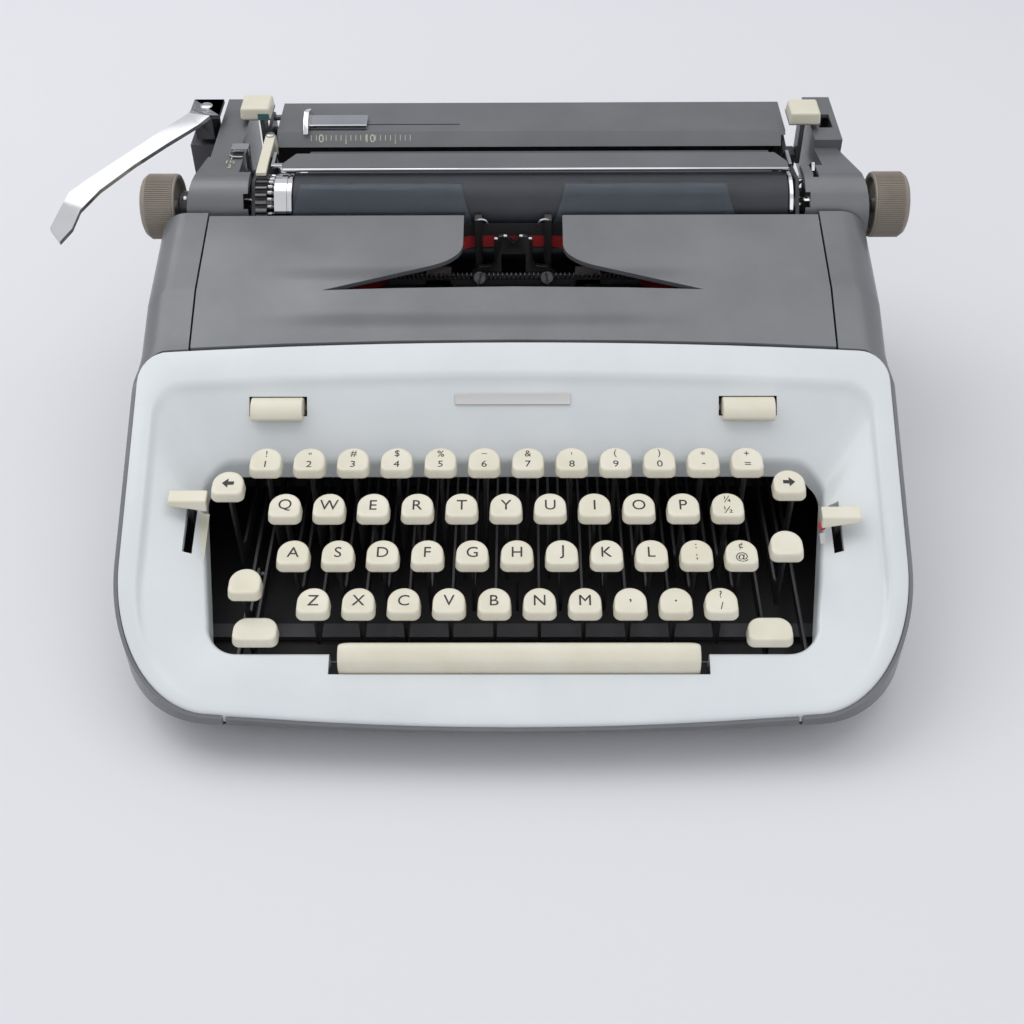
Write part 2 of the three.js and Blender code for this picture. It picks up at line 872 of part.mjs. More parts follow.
// The back panel of the bowl: its direction and a frame of places along and off it.
function panelPlace(y, along, off) {
  const y0 = well_rear_y;
  const z0 = well_rear_z;
  const y1 = rim_rear_y - rim_rear_width - chamfer_rear_width;
  const z1 = rimZ(y1) - chamfer_drop;
  const length = Math.hypot(y1 - y0, z1 - z0);
  const dy = (y1 - y0) / length;
  const dz = (z1 - z0) / length;
  const z = z0 + ((y - y0) * dz) / dy;
  return [y + along * dy - off * dz, z + along * dz + off * dy];
}

function panelOutline(points) {
  return points.map(([along, off]) => panelPlace(rocker_slot_y, along, off));
}

function bezel() {
  const half_slot = rocker_slot_height / 2;
  const slots = [rocker_left_x, rocker_right_x].map((x) => alongX(
    panelOutline([[-half_slot, -overrun], [half_slot, -overrun], [half_slot, overrun],
      [-half_slot, overrun]]),
    x - rocker_slot_width / 2, x + rocker_slot_width / 2));
  const ears = [rocker_left_x, rocker_right_x].flatMap((x) => [-1, 1].map((side) => {
    const inner = x + side * (rocker_slot_width / 2 + gap);
    const outer = inner + side * rocker_ear;
    const deep = rocker_pin_depth + rocker_pin_radius * 2;
    const ear = alongX(panelOutline([[-half_slot, -deep], [half_slot, -deep], [half_slot, 0],
      [-half_slot, 0]]),
      Math.min(inner, outer), Math.max(inner, outer));
    const [y, z] = panelPlace(rocker_slot_y, 0, -rocker_pin_depth);
    return ear.subtract(rodX(-body_half_width, body_half_width, y, z, rocker_pin_radius + gap,
      bore_side_count));
  }));
  const sideSlots = [-1, 1].map((side) => block(side * side_slot_x - side_slot_width / 2,
    side * side_slot_x + side_slot_width / 2, side_slot_front_y, side_slot_rear_y, well_front_z, rim_rear_z));
  const notch = block(bar_left_x - notch_side_gap, bar_right_x + notch_side_gap, bar_front_y - notch_gap,
    bar_rear_y, 0, rim_rear_z);
  return join(cut(ringLoft(bezelRails()), ...slots, ...sideSlots, notch), ...ears);
}

function rocker(x) {
  const half_slot = rocker_slot_height / 2 - gap;
  const x0 = x - rocker_width / 2;
  const x1 = x + rocker_width / 2;
  const reach = rocker_reach;
  const proud = rocker_proud;
  const face = alongX(panelOutline([[-reach, proud * 0.35], [half_slot * -1, proud * 0.35],
    [-half_slot, -rocker_pin_depth], [half_slot - gap, -rocker_pin_depth], [half_slot - gap, proud * 0.35],
    [-reach * 0.3, proud], [-reach, proud * 0.8]]), x0, x1);
  const [y, z] = panelPlace(rocker_slot_y, 0, -rocker_pin_depth);
  const pin_reach = rocker_slot_width / 2 + rocker_ear;
  return face.add(rodX(x - pin_reach, x + pin_reach, y, z, rocker_pin_radius, bore_side_count));
}

// Ribbon cover
function roofSheet(drop) {
  const wide = body_half_width + overrun;
  const z = (y) => roofZ(y) - drop;
  return alongX([[crown_start_y, 0], [roof_rear_y + overrun, 0],
    [roof_rear_y + overrun, z(roof_rear_y + overrun)],
    [crease_y, z(crease_y)], [crown_start_y, z(crown_start_y)]], -wide, wide);
}

function coverPlan(inset) {
  const side = cover_half_width - inset;
  const seam = bezelLoop(-gap * 2, rim_rear_y + gap * 2)
    .filter(([x, y]) => Math.abs(x) < cover_half_width - bezel_corner && y > crease_y - front_corner_x)
    .map(([x, y]) => [x, y + gap + inset]);
  const seam_side_y = rim_rear_y + gap * 4 - rear_bow + inset;
  seam.sort((p, q) => p[0] - q[0]);
  return [[-side, seam_side_y], ...seam, [side, seam_side_y], [side, cover_rear_y], [-side, cover_rear_y]];
}

function coverOpening() {
  const half = [
    [0, opening_front_y],
    [opening_half_width * 0.6, opening_front_y - (opening_front_y - opening_tip_y) * 0.4],
    [opening_half_width, opening_tip_y],
    [opening_shoulder_x, opening_shoulder_y],
    [(opening_shoulder_x + finger_half_gap) / 2 - gap * 3,
      (opening_shoulder_y + finger_bend_y) / 2 - gap * 3],
    [finger_half_gap, finger_bend_y],
    [finger_half_gap, cover_rear_y + overrun],
  ];
  const mirrored = half.slice(1).reverse().map(([x, y]) => [-x, y]);
  return alongZ(half.concat(mirrored), deck_z, roof_rear_z + overrun);
}

function ribbonCover() {
  const top = roof_rear_z + overrun;
  const outer = alongZ(coverPlan(0), deck_z, top).intersect(roofSheet(0));
  const under = alongZ(coverPlan(cover_wall), deck_z - overrun, top).intersect(roofSheet(cover_wall));
  const rearOpen = block(cover_wall - cover_half_width, cover_half_width - cover_wall, crease_y,
    cover_rear_y + overrun, deck_z, top).intersect(roofSheet(cover_wall));
  const plate = cut(outer, under, roofSheet(cover_skirt), rearOpen, coverOpening());
  const pins = [-1, 1].map((side) => {
    const inner = side * (cover_half_width - cover_wall);
    const outer_x = side * (cover_half_width + cover_gap + cover_ear);
    return rodX(Math.min(inner, outer_x), Math.max(inner, outer_x), cover_hinge_y, cover_hinge_z,
      cover_pin_radius, bore_side_count);
  });
  return join(plate, ...pins);
}

// Keys
function capOutline(x, y, width, depth) {
  const half = width / 2;
  const side = half;
  const rise = depth - side;
  const dome = arc(x, y - depth / 2 + rise, 1, 0, 180, cap_side_count).map(([a, b]) => [
    x + (a - x) * side, y - depth / 2 + rise + (b - (y - depth / 2 + rise)) * side,
  ]);
  return [[x - half, y - depth / 2], [x + half, y - depth / 2], ...dome];
}

function keyCap(x, y, top, width = cap_width, depth = cap_depth) {
  return alongZ(capOutline(x, y, width, depth), top - cap_height, top);
}

// A lever with its stem under a cap, running back to the fulcrum rod.
function keyLever(lever_x, y, top) {
  const low = lever_bottom_z;
  const high = lever_bottom_z + lever_height;
  const outline = [[y - stem_depth / 2, low], [fulcrum_y, low], [fulcrum_y, high], [y + stem_depth / 2, high],
    [y + stem_depth / 2, top - cap_height / 2], [y - stem_depth / 2, top - cap_height / 2]];
  return alongX(outline, lever_x - lever_sheet / 2, lever_x + lever_sheet / 2);
}

function hub(x0, x1) {
  return rodX(x0 - hub_side, x1 + hub_side, fulcrum_y, fulcrum_z, hub_radius, hub_side_count);
}

function hubBore() {
  return rodX(-body_half_width, body_half_width, fulcrum_y, fulcrum_z, fulcrum_radius + gap * 1.5,
    hub_side_count);
}

function keyPlaces() {
  const row_of = [0, 3, 1, 2];
  const lever_pitch = key_pitch / levers_per_pitch_count;
  const slot_count = columns_count * levers_per_pitch_count + 1;
  const places = [];
  for (let slot = 0; slot < slot_count; slot++) {
    const row = row_of[slot % levers_per_pitch_count];
    const first_slot = slot === 1;
    if (!first_slot) {
      places.push({
        x: first_key_x + slot * lever_pitch,
        y: -row * row_pitch,
        top: first_row_top_z - row * row_drop,
      });
    }
  }
  return places;
}

function keySet(keys) {
  const arms = keys.flatMap(({ x, y, top }) => [keyCap(x, y, top), keyLever(x, y, top)]);
  return join(...arms, hub(keys[0].x, keys[keys.length - 1].x)).subtract(hubBore());
}

function functionKey(cap_x, lever_x, y, top, width = cap_width, depth = cap_depth) {
  return join(keyCap(cap_x, y, top, width, depth), keyLever(lever_x, y, top), hub(lever_x, lever_x))
    .subtract(hubBore());
}

function shiftLock() {
  const low = lever_bottom_z + lever_height / 2 - lever_sheet * 2;
  const high = lever_bottom_z + lever_height / 2 + lever_sheet * 2;
  const stem = stem_depth / 2;
  const arm = alongX([[lock_y - stem, low], [lock_pivot_y + stem, low], [lock_pivot_y + stem, high],
    [lock_y + stem, high], [lock_y + stem, lock_top_z - cap_height / 2],
      [lock_y - stem, lock_top_z - cap_height / 2]],
  lock_lever_x - lever_sheet / 2, lock_lever_x + lever_sheet / 2);
  const pin = rodX(lock_lever_x, shift_left_lever_x + lever_sheet / 2, lock_pivot_y, fulcrum_z,
    lock_pin_radius, bore_side_count);
  return join(keyCap(lock_x, lock_y, lock_top_z), arm, pin);
}

function shiftLeft() {
  const bore = rodX(-body_half_width, 0, lock_pivot_y, fulcrum_z, lock_pin_radius + gap, bore_side_count);
  return functionKey(shift_left_x, shift_left_lever_x, shift_cap_y, shift_cap_top_z, shift_cap_width,
    shift_cap_depth)
    .subtract(bore);
}

function spaceBar() {
  const top = bar_top_z;
  const bottom = bar_top_z - bar_height;
  const bar = alongX([[bar_front_y, bottom], [bar_rear_y, bottom], [bar_rear_y, top - bar_bevel],
    [bar_rear_y - bar_bevel, top], [bar_front_y + bar_bevel, top], [bar_front_y, top - bar_bevel]],
  bar_left_x, bar_right_x);
  const lugs = [bar_left_x + bar_lug_inset,
    bar_right_x - bar_lug_inset].map((x) => block(x - bar_lug_width / 2,
    x + bar_lug_width / 2, bail_rod_y - bail_rod_radius, bail_rod_y + bail_rod_radius, bail_rod_z,
      bottom + bar_bevel));
  const half = lever_sheet / 2;
  const rod = rodX(bar_arm_left_x - half, bar_arm_right_x + half, bail_rod_y, bail_rod_z, bail_rod_radius,
    bore_side_count);
  const arms = [bar_arm_left_x, bar_arm_right_x].map((x) => strapX(x - half, x + half, bail_rod_y, bail_rod_z,
    fulcrum_y, fulcrum_z, bail_rod_radius * 2.5).add(hub(x, x)));
  return join(bar, ...lugs, rod, ...arms).subtract(hubBore());
}

// Side levers: a plate on a low pivot that comes up through the slot of the bowl to a knob.
function sideLever(side, angle_deg) {
  const x = side * side_slot_x;
  const turn = radians(90 - angle_deg);
  const tip_y = side_pivot_y + side_lever_length * Math.cos(turn);
  const tip_z = side_pivot_z + side_lever_length * Math.sin(turn);
  const plate = strapX(x - sheet / 2, x + sheet / 2, side_pivot_y, side_pivot_z, tip_y, tip_z,
    side_pin_radius * 2);
  const boss = rodX(x - sheet / 2, x + sheet / 2, side_pivot_y, side_pivot_z, side_pin_radius * 2,
    bore_side_count);
  const pin_end = side * (frame_x + frame_wall);
  const pin = rodX(Math.min(x, pin_end), Math.max(x, pin_end), side_pivot_y, side_pivot_z, side_pin_radius,
    bore_side_count);
  const knob = alongX([[tip_y - side_knob_depth / 2, tip_z - side_pin_radius],
    [tip_y + side_knob_depth / 2, tip_z - side_pin_radius + gap],
    [tip_y + side_knob_depth / 2 - cap_corner, tip_z + side_knob_height - side_pin_radius],
    [tip_y - side_knob_depth / 2 + cap_corner, tip_z + side_knob_height - side_pin_radius * 1.5]],
  x - side_knob_width / 2, x + side_knob_width / 2);
  const low = tip_z - side_pin_radius - gap;
  const outer_x = x + side * (side_knob_width / 2 + gap);
  const undercut = alongY([[x + side * sheet, low], [outer_x, low], [outer_x, low + side_knob_height * 0.7]],
  tip_y - side_knob_depth, tip_y + side_knob_depth);
  return join(plate, boss, pin, knob.subtract(undercut));
}

// Main frame: two side plates, straps under the keyboard, the bridge, spool tables and the rear plate.
function mainFrame() {
  const floor = body_bottom_z + pan_floor + gap;
  const over_wall = pan_wall_top_z + gap;
  const side = [[frame_front_y, over_wall], [frame_front_y + frame_step, over_wall],
    [frame_front_y + frame_step, floor],
    [frame_rear_y - frame_step, floor], [frame_rear_y - frame_step, over_wall], [frame_rear_y, over_wall],
    [frame_rear_y, frame_top_z],
    [bridge_y + bridge_wall * 2, frame_top_z], [bridge_y + bridge_wall, frame_mid_z],
      [frame_mid_y, frame_mid_z],
    [well_rear_y, frame_mid_z / 2], [frame_front_y, over_wall + strap_depth]];
  const plates = [-1, 1].map((hand) => {
    const near = hand * frame_x;
    const far = hand * (frame_x + frame_wall);
    return alongX(side, Math.min(near, far), Math.max(near, far));
  });
  const reach = frame_x + frame_wall / 2;
  const strap_y = frame_front_y + frame_step;
  const strap = block(-reach, reach, strap_y, strap_y + strap_depth, floor, floor + strap_height);
  const bar = block(-reach, reach, cross_bar_y, cross_bar_y + strap_depth, floor, floor + strap_depth);
  const bridge = block(-reach, reach, bridge_y, bridge_y + bridge_wall, bridge_bottom_z, bridge_top_z);
  const arch = alongY([[-bridge_arch, bridge_bottom_z - overrun], [bridge_arch, bridge_bottom_z - overrun],
    ...arc(0, bridge_bottom_z, bridge_arch * 0.55, 0, 180, 10)], bridge_y - overrun, bridge_y + overrun);
  const rear = block(-reach, reach, rear_plate_y, rear_plate_y + rear_plate_wall, over_wall, frame_top_z);
  const tables = [-1, 1].flatMap((hand) => {
    const near = hand * spool_table_inner_x;
    const far = hand * reach;
    const table = block(Math.min(near, far), Math.max(near, far), spool_table_front_y,
      bridge_y + bridge_wall / 2,
      spool_table_z, spool_table_z + pan_floor);
    const spindle = alongZ(circle(hand * spool_x, spool_y, spindle_radius, bore_side_count), spool_table_z,
      spool_bottom_z + spool_height);
    const seat = alongZ(circle(hand * spool_x, spool_y, spindle_radius * 2, bore_side_count), spool_table_z,
      spool_bottom_z - gap);
    return [table, spindle, seat];
  });
  const guides = [-1, 1].map((hand) => {
    const middle = (hand * (segment_inner + segment_outer)) / 2;
    return block(middle - strap_depth / 2, middle + strap_depth / 2, segment_y + segment_wall + gap,
      bridge_y + bridge_wall / 2, bridge_top_z - strap_depth * 2, bridge_top_z);
  });
  const fulcrumBore = rodX(-body_half_width, body_half_width, fulcrum_y, fulcrum_z, fulcrum_radius + gap,
    bore_side_count);
  const sideBore = rodX(-body_half_width, body_half_width, side_pivot_y, side_pivot_z, side_pin_radius + gap,
    bore_side_count);
  return join(...plates, strap, bar, bridge.subtract(arch), rear, ...tables, ...guides).subtract(fulcrumBore)
    .subtract(sideBore);
}

// Ribbon gear
function spool(hand) {
  const x = hand * spool_x;
  const top = spool_bottom_z + spool_height;
  const disc = (radius, z0, z1) => alongZ(circle(x, spool_y, radius, round_side_count), z0, z1);
  const body = join(disc(spool_radius, spool_bottom_z, spool_bottom_z + spool_flange),
    disc(spool_core_radius, spool_bottom_z, top), disc(spool_radius, top - spool_flange, top));
  const bore = alongZ(circle(x, spool_y, spindle_radius + gap, bore_side_count), 0, top + overrun);
  return body.subtract(bore);
}

// The ribbon runs from one spool up behind the type guide and down to the other spool.
function ribbon() {
  const spool_z = spool_bottom_z + (spool_height - ribbon_width) / 2;
  const path = [
    [-spool_x + spool_core_radius, spool_y + spool_core_radius * 0.9, spool_z],
    [-ribbon_bend_x, ribbon_y, ribbon_bottom_z],
    [ribbon_bend_x, ribbon_y, ribbon_bottom_z],
    [spool_x - spool_core_radius, spool_y + spool_core_radius * 0.9, spool_z],
  ];
  const position = [];
  path.forEach(([x, y, z]) => {
    position.push(x, y, z, x, y + ribbon_thickness, z, x, y + ribbon_thickness, z + ribbon_width,
      x, y, z + ribbon_width);
  });
  const index = [];
  const sides = 4;
  for (let s = 0; s < path.length - 1; s++) {
    for (let k = 0; k < sides; k++) {
      const a = s * sides + k;
      const b = s * sides + ((k + 1) % sides);
      index.push(a, b, b + sides, a, b + sides, a + sides);
    }
  }
  const last = (path.length - 1) * sides;
  index.push(0, 2, 1, 0, 3, 2, last, last + 1, last + 2, last, last + 2, last + 3);
  const geometry = new THREE.BufferGeometry();
  geometry.setAttribute('position', new THREE.Float32BufferAttribute(position, 3));
  geometry.setIndex(index);
  return toSolid(geometry);
}

function ribbonVibrator() {
  const z0 = vibrator_bottom_z;
  const z1 = vibrator_top_z;
  const y0 = vibrator_y - vibrator_wall;
  const outer = vibrator_half_width;
  const inner = vibrator_half_width - vibrator_arm;
  const foot = block(-outer, outer, y0, vibrator_y, z0, z0 + vibrator_arm);
  const arms = [-1, 1].flatMap((side) => {
    const a = Math.min(side * inner, side * outer);
    const b = Math.max(side * inner, side * outer);
    const arm = block(a, b, y0, vibrator_y, z0, z1);
    const hook = block(a, b, y0, ribbon_y + ribbon_thickness + gap + vibrator_wall,
      ribbon_bottom_z + ribbon_width + gap, z1);
    return [arm, hook];
  });
  return join(foot, ...arms);
}

function typeGuide() {
  const half = guide_half_width;
  const y1 = guide_y + guide_wall;
  const top = [...arc(0, guide_top_z - half * 0.5, half, 30, 150, 8)];
  const plate = alongY([[-half, guide_bottom_z], [half, guide_bottom_z], ...top], guide_y, y1);
  const window = block(-guide_window_half, guide_window_half, guide_y - overrun, y1 + overrun,
    guide_window_bottom_z, guide_window_top_z);
  const throat = alongY([[-guide_window_half * 0.35, guide_top_z - gap], [0, guide_window_top_z + gap],
    [guide_window_half * 0.35, guide_top_z - gap], [guide_window_half * 0.35, guide_top_z + overrun],
    [-guide_window_half * 0.35, guide_top_z + overrun]], guide_y - overrun, y1 + overrun);
  const feet = [-1, 1].map((side) => {
    const a = side * (half - guide_wall);
    const b = side * (half + guide_wall);
    return block(Math.min(a, b), Math.max(a, b), bridge_y + bridge_wall + gap, guide_y + guide_wall * 0.7,
      guide_bottom_z, guide_window_bottom_z);
  });
  return join(plate.subtract(window).subtract(throat), ...feet);
}

// Clear holder: a thin curved plate in front of the platen, on a foot from the bridge.
function cardHolder(hand) {
  const inner = platen_radius + holder_gap;
  const outer = inner + holder_wall;
  const section = [
    [platen_y - outer, holder_bottom_z], [platen_y - inner, holder_bottom_z],
    ...arc(platen_y, platen_z, inner, 180, 180 - holder_top_deg, 7),
    ...arc(platen_y, platen_z, outer, 180 - holder_top_deg, 180, 7),
  ];
  const a = Math.min(hand * holder_inner_x, hand * holder_outer_x);
  const b = Math.max(hand * holder_inner_x, hand * holder_outer_x);
  const top = platen_z + outer;
  const face = alongY([[a, holder_bottom_z], [b, holder_bottom_z], [b, platen_z],
    [b - (hand > 0 ? holder_taper : 0) - (hand < 0 ? holder_taper : 0), top],
    [a + holder_taper, top], [a, platen_z]], 0, platen_y);
  const foot_x = hand * holder_foot_x;
  const low = block(foot_x - holder_foot_width / 2, foot_x + holder_foot_width / 2, platen_y - outer,
    platen_y - inner, holder_bottom_z - holder_foot_wall, platen_z);
  const foot = block(foot_x - holder_foot_width / 2, foot_x + holder_foot_width / 2,
    bridge_y + bridge_wall + gap,
    platen_y - inner, holder_bottom_z - holder_foot_wall, holder_bottom_z);
  const open = block(a - overrun, b + overrun, 0, platen_y, 0, platen_z - platen_radius / 3)
    .subtract(block(foot_x - holder_foot_width / 2, foot_x + holder_foot_width / 2, -overrun,
      platen_y + overrun,
      -overrun, platen_z));
  return join(alongX(section, a, b).intersect(face).subtract(open), low, foot);
}

// Type segment: slotted arch, typebars fanned out to their heads, and the comb.
function typeSegment() {
  const ring = (radius, flip) => {
    const points = arc(0, segment_z, radius, 180, 360, segment_side_count);
    return flip ? points.reverse() : points;
  };
  const arch = alongY([...ring(segment_outer, false), ...ring(segment_inner, true)], segment_y,
    segment_y + segment_wall);
  const bars = Array.from({ length: typebar_count }, (_, i) => typebar(-typebar_spread_deg
    + (2 * typebar_spread_deg * i) / (typebar_count - 1)));
  const teeth = [];
  const step = (2 * comb_half_width) / comb_tooth_count;
  teeth.push([-comb_half_width, comb_top_z - comb_height], [comb_half_width, comb_top_z - comb_height]);
  for (let i = comb_tooth_count; i > 0; i--) {
    const x = -comb_half_width + i * step;
    teeth.push([x, comb_top_z - comb_tooth_height], [x - step / 2, comb_top_z]);
  }
  teeth.push([-comb_half_width, comb_top_z - comb_tooth_height]);
  const comb = alongY(teeth, comb_y, comb_y + comb_depth);
  const brackets = [-1, 1].map((side) => {
    const a = side * segment_inner;
    const b = side * segment_outer;
    return block(Math.min(a, b), Math.max(a, b), comb_y, segment_y + segment_wall, comb_top_z - comb_height,
      segment_z + gap);
  });
  return join(arch, ...bars, comb, ...brackets);
}

// One typebar at rest: a flat bar from the segment forward to its head, turned about the segment's middle.
function typebar(turn_deg) {
  const start_y = segment_y + gap;
  const start_r = (segment_inner + segment_outer) / 2;
  const half = typebar_depth / 2;
  const outline = [[head_y - head_size / 2, head_radius + head_size / 2],
    [head_y - head_size / 2, head_radius - head_size],
    [start_y, start_r - half], [start_y, start_r + half], [head_y + head_size / 2, head_radius + half]];
  const flat = alongX(outline.map(([y, r]) => [y, -r]).reverse(), -typebar_width / 2, typebar_width / 2);
  return flat.rotate([0, -turn_deg, 0]).translate([0, 0, segment_z]);
}

// Carriage
function platen() {
  const left = platen_left_x + gap;
  const outer = rodX(left, platen_right_x, platen_y, platen_z, platen_radius, platen_side_count);
  const bore = rodX(left - overrun, platen_right_x + overrun, platen_y, platen_z, shaft_radius + gap,
    bore_side_count);
  return outer.subtract(bore);
}

function shaft() {
  const at = [platen_y, platen_z];
  const rod = rodX(knob_left_x + knob_wall + gap, knob_right_x - knob_wall - gap, ...at, shaft_radius,
    bore_side_count);
  const capLeft = rodX(platen_left_x - platen_cap_width, platen_left_x, ...at, platen_radius,
    platen_side_count);
  const capRight = rodX(platen_right_x + gap, platen_right_x + gap + bezel_wall, ...at, platen_radius - gap,
    platen_side_count);
  const collarLeft = rodX(knob_left_x + knob_width + gap, end_left_x + end_wall, ...at, collar_radius,
    round_side_count);
  const collarRight = rodX(end_right_x - end_wall, knob_right_x - knob_width - gap, ...at, collar_radius,
    round_side_count);
  return join(rod, capLeft, capRight, collarLeft, collarRight);
}

function knob(x0, x1, open_side) {
  const ribbed = [];
  const step = 360 / knob_rib_count;
  for (let i = 0; i < knob_rib_count; i++) {
    ribbed.push(...arc(platen_y, platen_z, knob_radius, i * step, i * step + step * 0.4, 1));
    ribbed.push(...arc(platen_y, platen_z, knob_radius - knob_rib, i * step + step * 0.55,
      i * step + step * 0.85, 1));
  }
  const body = alongX(ribbed, x0, x1);
  const bore_x0 = open_side < 0 ? x0 - overrun : x0 + knob_wall;
  const bore_x1 = open_side < 0 ? x1 - knob_wall : x1 + overrun;
  return body.subtract(rodX(bore_x0, bore_x1, platen_y, platen_z, shaft_radius + gap, bore_side_count));
}

function lineSpaceWheel() {
  const step = 360 / wheel_tooth_count;
  const outline = Array.from({ length: wheel_tooth_count }, (_, i) => [
    ...arc(platen_y, platen_z, wheel_radius, i * step, i * step, 1).slice(1),
    ...arc(platen_y, platen_z, wheel_radius - wheel_tooth, i * step + step * 0.7, i * step, 1).slice(0, 1),
  ]).flat();
  return alongX(outline, wheel_x, wheel_x + wheel_width)
    .subtract(rodX(wheel_x - overrun, wheel_x + wheel_width + overrun, platen_y, platen_z, shaft_radius + gap,
      bore_side_count));
}

function endSection(inset, step_y, step_drop) {
  const low = end_bottom_z - (inset > 0 ? overrun : 0);
  return [
    [end_front_y + inset, low],
    [end_rear_y - inset, low],
    [end_rear_y - inset, block_top_z - inset],
    [step_y + inset, block_top_z - inset],
    [step_y + inset, end_top_z - step_drop - inset],
    ...arc(platen_y, platen_z, end_radius - inset, 90, 180, 6),
  ];
}

// One carriage end cover: the front part flares out, the rear block is narrower and steps up.
function endCover({ hand, outer, inner, neck, neckY, flare, stepY, stepDrop, blockOuter, blockInner }) {
  const plan = (inset) => {
    const o = outer - hand * inset;
    const i = inner + hand * inset;
    const n = neck + hand * inset;
    const bo = blockOuter - hand * inset;
    const bi = blockInner + hand * inset;
    const points = [[i, end_front_y - overrun], [o, end_front_y - overrun], [o, end_front_y],
      [o - hand * flare, stepY - inset], [bo, stepY + inset], [bo, end_rear_y + overrun],
      [bi, end_rear_y + overrun], [bi, stepY + inset], [n, stepY - inset], [n, neckY - inset],
        [i, neckY - inset]];
    return hand > 0 ? points : points.reverse();
  };
  const low = end_bottom_z - overrun * 2;
  const high = end_top_z + overrun;
  const wide = [Math.min(outer, inner) - overrun, Math.max(outer, inner) + overrun];
  const solid = (inset) => alongX(endSection(inset, stepY, stepDrop),
    ...wide).intersect(alongZ(plan(inset), low, high));
  const shaftHole = rodX(...wide, platen_y, platen_z, collar_radius + running_gap, round_side_count);
  const truckSpace = block(...wide, truck_front_y - gap, end_rear_y + overrun, low,
    truck_bottom_z + truck_wall + gap);
  const open = [inner - hand * overrun, inner + hand * (end_wall + gap)];
  const openSide = block(Math.min(...open), Math.max(...open), end_front_y + end_wall, neckY + overrun,
    low, end_top_z - end_wall * 2);
  return cut(solid(0), solid(end_wall), shaftHole, truckSpace, openSide);
}

function leftEndCover() {
  const cover = endCover({
    hand: -1,
    outer: end_left_x,
    inner: end_left_inner_x,
    neck: neck_left_x,
    neckY: neck_left_y,
    flare: end_left_flare,
    stepY: end_left_step_y,
    stepDrop: end_left_drop,
    blockOuter: block_left_x,
    blockInner: block_left_inner_x,
  });
  const post = block(post_left_x - overrun, post_right_x + gap, post_front_y - gap, post_rear_y + gap,
    end_bottom_z - overrun, end_top_z + overrun);
  return cover.subtract(post);
}

function rightEndCover() {
  const cover = endCover({
    hand: 1,
    outer: end_right_x,
    inner: end_right_inner_x,
    neck: block_right_inner_x,
    neckY: neck_right_y,
    flare: end_right_flare,
    stepY: end_right_step_y,
    stepDrop: end_right_drop,
    blockOuter: block_right_x,
    blockInner: block_right_inner_x,
  });
  const mouth_x = margin_right_x + margin_width / 2 + gap;
  const mouth = block(mouth_x, block_right_x - end_wall * 1.5, margin_right_y - margin_depth / 3,
    margin_right_y + margin_depth / 2, block_top_z - end_wall * 2, block_top_z + overrun);
  const slot = block(paper_release_x - running_gap, paper_release_x + sheet + running_gap,
    paper_release_tip_y - overrun * 2, neck_right_y + overrun, platen_z - platen_radius / 2,
      end_top_z + overrun);
  return cut(cover, mouth, slot);
}

